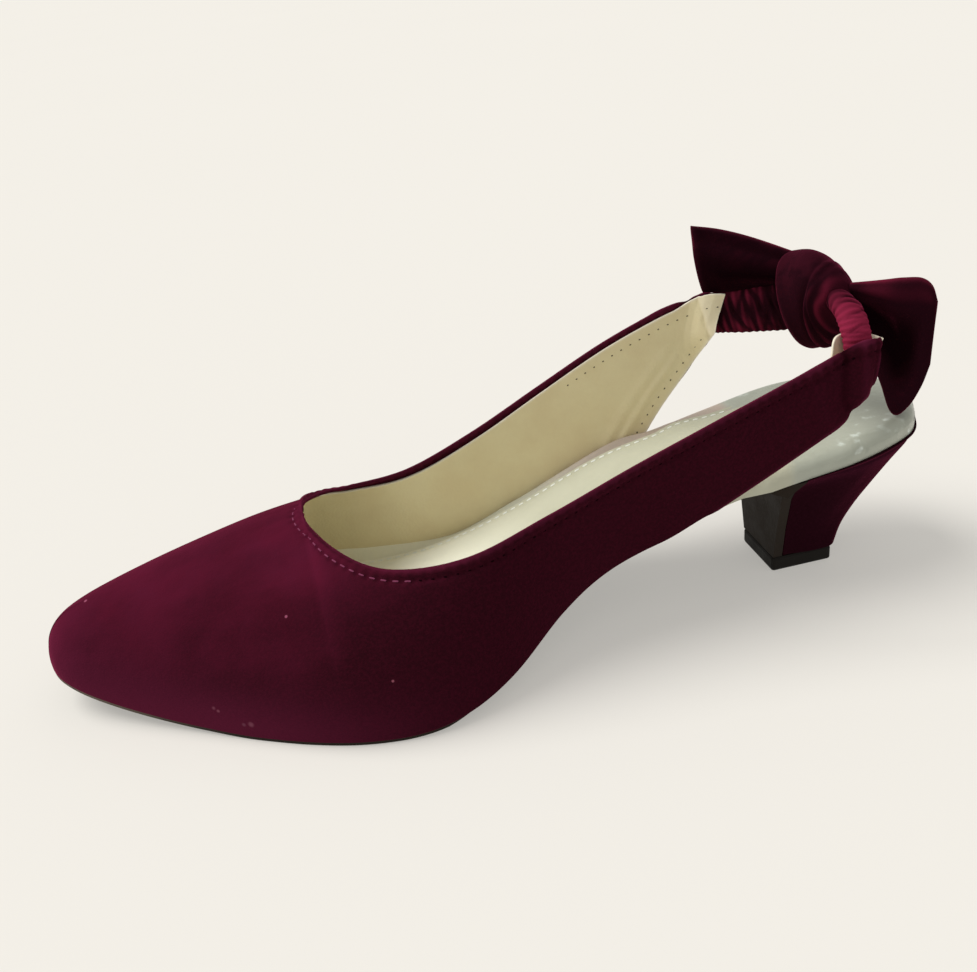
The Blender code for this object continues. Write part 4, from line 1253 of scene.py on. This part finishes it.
def make_outsole(finishes):
    """Sole from the toe tip to the heel breast, turned down the front of the heel as a flap."""
    loops = []
    corner = BREAST_X + SOLE_GAP
    heel_z = TOP_PIECE_HEIGHT + FLAP_GAP
    seat_z = feather_z(corner) - SOLE_GAP
    for row in FLAP:
        z = heel_z + row.level * (seat_z - heel_z)
        sides = heel_front(row.level)
        face = cross_line(BREAST_X + FLAP_THICKNESS + row.swell, *sides, z)
        loops.append(plate_loop(cross_line(corner, *sides, z), face, SOLE_STEPS))
    reach, drop = FLAP_FILLET
    sides = heel_front(1.0)
    under = cross_line(corner + FLAP_THICKNESS + reach, *sides, seat_z - drop)
    loops.append(plate_loop(cross_line(corner, *sides, seat_z), under, SOLE_STEPS))
    front = OUTLINE[0].x - SOLE_TIP_TRIM
    turn = np.linspace(0, math.pi, SOLE_ROWS + 1)
    back = corner + SHANK_START
    for x in back + (front - back) * (1 - np.cos(turn)) / 2:
        z = feather_z(x)
        over = cross_line(x, *sole_edge(x, WAIST_INSET), z)
        below = cross_line(x, *sole_edge(x, WAIST_BEVEL), z - SOLE_GAP - SOLE_THICKNESS)
        loops.append(plate_loop(over, below, SOLE_STEPS))
    shape = loft(loops)
    made = add_piece("sole_leather", shape, finishes["sole"], ["outsole"], crease=40)
    round_edges(made, SOLE_ROUND, segments=2)


def heel_bottom():
    """Plan of the heel over the top piece: square at the breast, rounded at the back."""
    half = TOP_PIECE_WIDTH / 2
    turn = np.linspace(0, math.pi / 2, 6)
    x = TOP_PIECE_BACK + HEEL_CORNER * (1 - np.sin(turn))
    y = half - HEEL_CORNER * (1 - np.cos(turn))
    outer = np.vstack([[BREAST_X, half], np.column_stack([x, y])])
    return np.vstack([outer, outer[::-1] * (1, -1)])


def heel_seat():
    """Plan of the seat from the breast on the outer side round the back to the breast on the inner side."""
    rounds = []
    for side in (1, -1):
        plan = outline_side(side)
        plan = plan[plan[:, 0] <= BREAST_X]
        start = [[BREAST_X, outline_y(side, BREAST_X)]]
        rounds.append(np.vstack([start, plan]))
    return np.vstack([rounds[0], rounds[1][::-1]])


def heel_plan(level):
    """Plan of the heel at a level from 0, over the top piece, to 1, under the seat."""
    heights = [row.height for row in HEEL_LEVELS]
    back, front = (smooth(heights, [row[k] for row in HEEL_LEVELS], np.array(level)) for k in (1, 2))
    low, high = (even_points(line, HEEL_STEPS + 1) for line in (heel_bottom(), heel_seat()))
    along = np.linspace(0, 1, HEEL_STEPS + 1)
    share = front + (back - front) * ramp(np.minimum(along, 1 - along), 0.0, HEEL_TURN)
    return low + share[:, None] * (high - low)


def heel_front(level):
    """Inner and outer side of the heel at its breast."""
    plan = heel_plan(level)
    return plan[-1][1], plan[0][1]


def make_heel(finishes):
    """Velvet-covered heel with a thin folded edge under the seat."""
    loops, wear_light_shade = [], []
    floor = TOP_PIECE_HEIGHT + SOLE_GAP
    for level in 1 - (1 - np.linspace(0, 1, HEEL_LEVEL_ROWS)) ** HEEL_CROWD:
        plan = heel_plan(level)
        seat = feather_z(plan[:, 0]) - HEEL_GAP
        below = (1 - level) * (seat - floor)
        outward = unit(np.gradient(plan, axis=0))[:, ::-1] * (1, -1)
        lip = HEEL_LIP * (bell(below, *LIP_RIDGE) - bell(below, *LIP_GROOVE))
        loops.append(np.column_stack([plan + outward * lip[:, None], floor + level * (seat - floor)]))
        # painted highlight a few millimetres under the seat and painted shadow at the edge against it
        wear_light_shade.append(HEEL_HIGHLIGHT * bell(below, *HEEL_HIGHLIGHT_BAND) - LIP_SHADOW * bell(below, *LIP_SHADE))
    shape = loft(loops)
    made = add_piece("heel_velvet", shape, finishes["heel"], ["heel"], crease=50)
    dress(made, np.vstack(loops), np.concatenate(wear_light_shade))
    round_edges(made, HEEL_ROUND, segments=3)


def insole_sides(extra):
    """Plan of the insole's inner and outer side from seat to toe, drawn in by a further inset."""
    sides = []
    for side, draw in ((-1, INNER_DRAW), (1, OUTER_DRAW)):
        plan = outline_side(side)[::-1]
        ahead = unit(np.gradient(plan, axis=0))
        inward = side * ahead[:, ::-1] * (1, -1)
        stations = (draw.start, draw.full, TOE_BOX_X, OUTLINE[0].x)
        inset = np.interp(plan[:, 0], stations, (SOCK_BACK, SOCK_INSET, SOCK_INSET, SOCK_TOE_INSET))
        inset = inset + extra(plan[:, 0])
        line = plan + inward * inset[:, None]
        sides.append(at_lengths(line, walk(line)[-1] * np.linspace(0, 1, PLATE_ROWS) ** PLATE_CROWD))
    return sides


def plate(sides, top, bottom, rounding, relief):
    """Closed plate between two plan sides: top and bottom give heights at x, its upper edge is rounded, and
    relief is added at each x and distance from the edge."""
    inner, outer = sides
    share = ((1 - np.cos(np.linspace(0, math.pi, PLATE_COLUMNS + 1))) / 2)[None, :, None]
    over = inner[:, None] * (1 - share) + outer[:, None] * share
    rim = np.vstack([inner, outer[::-1], inner[:1]])
    flat = over.reshape(-1, 2)
    x = flat[:, 0]
    away = nearest(np.pad(rim, ((0, 0), (0, 1))), np.pad(flat, ((0, 0), (0, 1))))[0]
    radius = rounding(x)
    fall = radius - np.sqrt(np.maximum(radius**2 - (radius - np.minimum(away, radius)) ** 2, 0))
    upper = np.column_stack([flat, top(x) - fall + relief(x, away)]).reshape(*over.shape[:2], 3)
    lower = np.column_stack([flat, bottom(x)]).reshape(*over.shape[:2], 3)
    return loft(np.concatenate([upper, lower[:, ::-1]], axis=1))


def insole_height(x):
    """Height of the insole board's upper face."""
    return feather_z(x) + smooth(*zip(*CUSHION), x)


def sock_inset(x):
    """Board showing beside the sock."""
    return np.interp(x, BORDER_FADE, (SOCK_SEAT_BORDER, SOCK_BORDER))


def sock_height(x):
    return insole_height(x) + smooth(*zip(*PADDING), x)


def make_insole(finishes):
    """Wrapped insole board, coved up to the lining, with a sock stitched on it."""

    def cove(x, away):
        return smooth(*zip(*COVE), np.maximum(x, COVE[0].x)) * (1 - ramp(away, 0.0, COVE_WIDTH))

    def channel(x, away):
        return SOCK_CHANNEL * (bell(away, *SOCK_SWELL) - bell(away, SOCK_STITCH_INSET, SOCK_CHANNEL_WIDTH))

    board = plate(
        insole_sides(lambda x: -BOARD_REACH * ramp(x, *ROUND_FADE)),
        insole_height,
        feather_z,
        lambda x: np.interp(x, ROUND_FADE, (BOARD_ROUND_SEAT, BOARD_ROUND)),
        cove,
    )
    add_piece("insole_board", board, finishes["board"], ["insole"])
    sock = plate(
        insole_sides(sock_inset),
        sock_height,
        lambda x: insole_height(x) - SOCK_DEPTH,
        lambda x: np.interp(x, BORDER_FADE, SOCK_ROUND),
        channel,
    )
    made = add_piece("sock", sock, finishes["sock"])
    # painted light: the sock is paler towards the toe, where the vamp shades it
    set_attribute(made, "edge", sock[0], ramp(sock[0][:, 0], *FRONT_FADE))
    inner, outer = insole_sides(lambda x: sock_inset(x) + SOCK_STITCH_INSET)
    plan = np.vstack([inner, outer[::-1]])
    row = np.column_stack([plan, sock_height(plan[:, 0]) - SOCK_CHANNEL / 2])
    normals = np.tile([0.0, 0.0, 1.0], (len(row), 1))
    made = stitches(row, normals, SOCK_PITCH, SOCK_STITCH, lambda p: p[0] > SOCK_STITCH_X)
    add_piece("sock_stitches", made, finishes["sock_thread"])


def band_frame(places):
    """Rows of the band's route with the directions of its width and of its depth."""
    rows = curve_through(BAND, places)
    ahead = np.gradient(rows[:, :3], axis=0)
    deep = unit(np.cross(ahead, rows[:, 5:8]))
    wide = unit(np.cross(deep, ahead))
    return rows, wide, deep


def ruched_rings(places, frames, widths, depths, sides, relief):
    """Oval rings round a route, with a relief given at each place and turn."""
    turn = full_turn(sides)
    rings = []
    for k, (row, wide, deep) in enumerate(zip(*frames)):
        spoke = ovals(turn, widths[k], depths[k], wide, deep)
        rings.append(row[:3] + spoke + unit(spoke) * relief(places[k], turn)[:, None])
    return rings


def gathers(place, turn):
    """Depth of the band's gather creases at a place and turns round it."""
    depth = np.zeros_like(turn)
    for fold in FAR_GATHERS + NEAR_GATHERS:
        for half in (0, 1):
            off = np.angle(np.exp(1j * (turn - fold.turn - half * math.pi)))
            ripple = GATHER_RIPPLE * np.sin(3 * off + 7 * fold.place)
            middle = fold.place + half * GATHER_BACK + fold.slant * off + ripple
            depth += fold.depth * bell(place, middle, fold.width) * bell(off, 0.0, fold.reach)
    fine = np.sin(2 * math.pi * NEAR_WRINKLES * place + 1.4 * np.sin(2 * turn + 3 * place))
    rounds, lean = 2 * math.pi * FAR_NET * place, FAR_NET_SLANT * np.cos(turn)
    depth += FAR_NET_DEPTH * (1 + np.sin(rounds + lean) * np.sin(rounds - lean)) * ramp(place, *FAR_NET_FADE)
    return depth + NEAR_WRINKLE_DEPTH * (1 + fine) * (1 - ramp(place, *NEAR_WRINKLE_FADE))


def make_band(finishes):
    """Gathered velvet band round the back, from strap to strap."""
    places = np.linspace(0, len(BAND) - 1, BAND_ROWS + 1)
    frames = band_frame(places)
    sizes = frames[0][:, 3:5].T
    rings = ruched_rings(places, frames, *sizes, BAND_SIDES, lambda *at: GATHER_SWELL - gathers(*at))
    piece = add_bow_piece("gathered_band", loft(rings), "back_band", finishes)
    creased = np.concatenate([gathers(place, full_turn(BAND_SIDES)) for place in places])
    # painted highlight on the band's ends, where it turns to the light, and painted shade in its creases
    near = NEAR_BAND_HIGHLIGHT * (1 - ramp(places, *NEAR_BAND_FADE))
    lit = np.repeat(near + FAR_BAND_HIGHLIGHT * ramp(places, *FAR_BAND_FADE), BAND_SIDES)
    dress(piece, np.vstack(rings), np.clip(lit - CREASE_SHADE * creased, -1, 1), BOW_LIT_FACING_WAY)


def wraps(place, turn):
    """Overlapping turns of the knot: each has a raised edge and sinks away behind it. Also its painted light
    and shade: a painted highlight on an edge and painted shade in the groove beside it."""
    total, edge = np.zeros_like(turn), np.zeros_like(turn)
    for k, wrap in enumerate(WRAPS):
        fade = WRAP_FADE + (1 - WRAP_FADE) * (0.5 + 0.5 * np.cos(turn - wrap.fullest))
        line = wrap.edge + wrap.slant * np.sin(turn + wrap.phase) + WRAP_WOBBLE * np.sin(3 * turn + 2 * k)
        behind = line - place
        groove = bell(behind, -WRAP_SOFT, WRAP_SOFT)
        rise = ramp(behind, -WRAP_SOFT, WRAP_SOFT) * np.exp(-np.maximum(behind, 0) / wrap.length)
        total += fade * (wrap.height * rise - WRAP_GROOVE * groove)
        edge += fade * (WRAP_EDGE_HIGHLIGHT * bell(behind, WRAP_SOFT, WRAP_SOFT) - WRAP_GROOVE_SHADE * groove)
    return total - WRAP_SINK, edge


def add_bow_piece(name, shape, node, finishes):
    return add_piece(name, shape, finishes["bow"], [node], crease=180)


def make_knot(finishes):
    """Knot round the middle of the band, fuller in the middle than at its ends."""
    share = np.linspace(-1, 1, KNOT_ROWS + 1)
    start, end = KNOT_SPAN
    frames = band_frame(start + (end - start) * (share + 1) / 2)
    full = smooth(*zip(*KNOT_FULL), share)
    sizes = (2 * KNOT_RADIUS_UP * full, 2 * KNOT_RADIUS_ACROSS * full)
    outside = ruched_rings(share, frames, *sizes, KNOT_SIDES, lambda *at: wraps(*at)[0])
    sleeve = frames[0][:, 3:5].T * KNOT_SLEEVE
    inside = ruched_rings(share, frames, *sleeve, KNOT_SIDES, lambda place, turn: 0 * turn)
    shape = loft(np.array([inside[0]] + outside + [inside[-1]]))
    piece = add_bow_piece("wrapped_knot", shape, "bow_knot", finishes)
    # painted highlight at the knot's near end, and on the wrap edges, with painted shade in the grooves
    near = np.repeat(KNOT_NEAR_HIGHLIGHT * (1 - ramp(share, *KNOT_NEAR_FADE)), KNOT_SIDES)
    wear_light_shade = np.concatenate([wraps(place, full_turn(KNOT_SIDES))[1] for place in share]) + near
    dress(piece, np.vstack(outside), np.clip(wear_light_shade, -1, 1), BOW_LIT_FACING_WAY)


def make_tail(name, node, rows, folds, face_shade, finishes):
    """Doubled, flared end of the knotted strip, with soft folds running out from the knot."""
    rows = curve_through(rows, np.linspace(0, len(rows) - 1, TAIL_ROWS + 1))
    ahead = np.gradient(rows[:, :3], axis=0)
    turn = full_turn(TAIL_SIDES)
    across = np.cos(turn)
    rings, wear_light_shade = [], []
    for k, row in enumerate(rows):
        share = k / TAIL_ROWS
        half_width, cup, full = row[3], row[7], row[8]
        side = unit(row[4:7])
        face = unit(np.cross(ahead[k], side))
        bend = np.zeros_like(turn)
        for fold in folds:
            middle = fold.root + (fold.tip - fold.root) * share
            starting = ramp(share, fold.start, fold.start + FOLD_IN)
            fade = starting * (1 - ramp(share, fold.end - FOLD_OUT, fold.end))
            bend = bend + fold.height * bell(across, middle, fold.width) * fade
        lift = (across**2 - CUP_CENTRE) * cup + np.sin(turn) * full / 2 + bend
        rings.append(row[:3] + np.outer(across * half_width, side) + np.outer(lift, face))
        # painted highlight on the edges and beside the knot, painted light and shade on the folds, painted
        # shade over the rest of each face
        edge = np.maximum(bell(np.abs(across), 1.0, TAIL_EDGE), bell(share, 1.0, TAIL_EDGE))
        shoulder = bell(share, *SHOULDER_ALONG) * bell(across, *SHOULDER_ACROSS)
        lit = TAIL_EDGE_HIGHLIGHT * edge + TAIL_FOLD_LIGHT_AND_SHADE * bend + SHOULDER_HIGHLIGHT * shoulder
        wear_light_shade.append(lit - face_shade * (1 - edge))
    piece = add_bow_piece(name, loft(rings), node, finishes)
    dress(piece, np.vstack(rings), np.clip(np.concatenate(wear_light_shade), -1, 1), BOW_LIT_FACING_WAY)


def make_finishes():
    return {
        "velvet": velvet("velvet", *UPPER_TONES, BROAD_PATCH, SPECKS),
        "heel": velvet("heel_velvet", *HEEL_TONES, BROAD_PATCH),
        "bow": velvet("bow_velvet", *BOW_TONES, SMALL_PATCH),
        "lining": leather("lining_leather", *LINING_TONES, roughness=0.5, grain=0.8, depth=0.04),
        "sock": leather("sock_leather", *SOCK_TONES, roughness=0.55, grain=0.9, depth=0.03),
        "board": board_leather(),
        "sole": sole_leather("sole_leather", *SOLE_TONES, roughness=0.65),
        "top_piece": sole_leather("top_piece_rubber", *TOP_PIECE_TONES, roughness=0.55),
        "throat_stitches": thread("throat_thread", *THROAT_THREAD),
        "topline_stitches": thread("topline_thread", *TOPLINE_THREAD),
        "sock_thread": thread("sock_thread", *SOCK_THREAD),
        "holes": thread("needle_holes", *NEEDLE_HOLE),
    }


def make_stage():
    """Pale floor, warm white surroundings and one broad soft light from over the toe."""
    bpy.ops.mesh.primitive_plane_add(size=FLOOR_SIZE * MM)
    floor = bpy.context.active_object
    floor.name = "floor"
    paint = Paint("floor_paint", Roughness=0.95, Specular_IOR_Level=0.0)
    tint = paint.mix(paint.noise(400.0, detail=1.0), FLOOR_COLOUR, tinted(FLOOR_COLOUR, FLOOR_SHADE))
    paint.set(Base_Color=tint, Emission_Color=FLOOR_COLOUR, Emission_Strength=FLOOR_GLOW)
    floor.data.materials.append(paint.material)
    world = bpy.data.worlds.new("surroundings")
    world.use_nodes = True
    sky = world.node_tree.nodes["Background"]
    sky.inputs["Color"].default_value = (*SKY_COLOUR, 1.0)
    sky.inputs["Strength"].default_value = SKY_STRENGTH
    scene = bpy.context.scene
    scene.world = world
    scene.view_settings.view_transform = "Standard"
    lamp = bpy.data.lights.new("key", "SUN")
    lamp.energy = KEY_STRENGTH
    lamp.color = KEY_COLOUR
    lamp.angle = math.radians(KEY_ANGLE)
    key = bpy.data.objects.new("key", lamp)
    key.matrix_world = look_along(-unit(np.array(KEY_FROM)), np.zeros(3))
    scene.collection.objects.link(key)


def look_along(ahead, place, roll=0.0):
    """Matrix of a camera or lamp at a place in metres that looks ahead, rolled by degrees."""
    right = unit(np.cross(ahead, (0.0, 0.0, 1.0)))
    over = np.cross(right, ahead)
    turn = math.radians(roll)
    rolled = [right * math.cos(turn) + over * math.sin(turn), over * math.cos(turn) - right * math.sin(turn)]
    columns = np.column_stack([*rolled, -ahead, place])
    return Matrix([*columns.tolist(), (0.0, 0.0, 0.0, 1.0)])


def make_camera():
    """Camera at the photograph's place, from the outer side over the toe."""
    turn, height = math.radians(CAMERA_TURN), math.radians(CAMERA_ELEVATION)
    back = np.array([math.sin(turn) * math.cos(height), math.cos(turn) * math.cos(height), math.sin(height)])
    lens = bpy.data.cameras.new("camera")
    lens.sensor_fit = "HORIZONTAL"
    lens.sensor_width = SENSOR
    lens.lens = SENSOR * FOCAL_PIXELS / IMAGE_WIDTH
    lens.clip_start = 0.01
    camera = bpy.data.objects.new("camera", lens)
    camera.matrix_world = look_along(-back, (np.array(CAMERA_PLACE) + SHIFT) * MM, CAMERA_ROLL)
    bpy.context.scene.collection.objects.link(camera)
    bpy.context.scene.camera = camera


def main():
    make_camera()
    make_stage()
    finishes = make_finishes()
    make_upper(finishes)
    make_insole(finishes)
    make_outsole(finishes)
    make_heel(finishes)
    make_band(finishes)
    make_knot(finishes)
    make_tail("outer_bow_tail", "bow_tail_outer", OUTER_TAIL, OUTER_TAIL_FOLDS, OUTER_TAIL_SHADE, finishes)
    make_tail("inner_bow_tail", "bow_tail_inner", INNER_TAIL, INNER_TAIL_FOLDS, INNER_TAIL_SHADE, finishes)
    for material_slot in bpy.data.objects["top_piece"].material_slots:
        material_slot.material = finishes["top_piece"]


main()
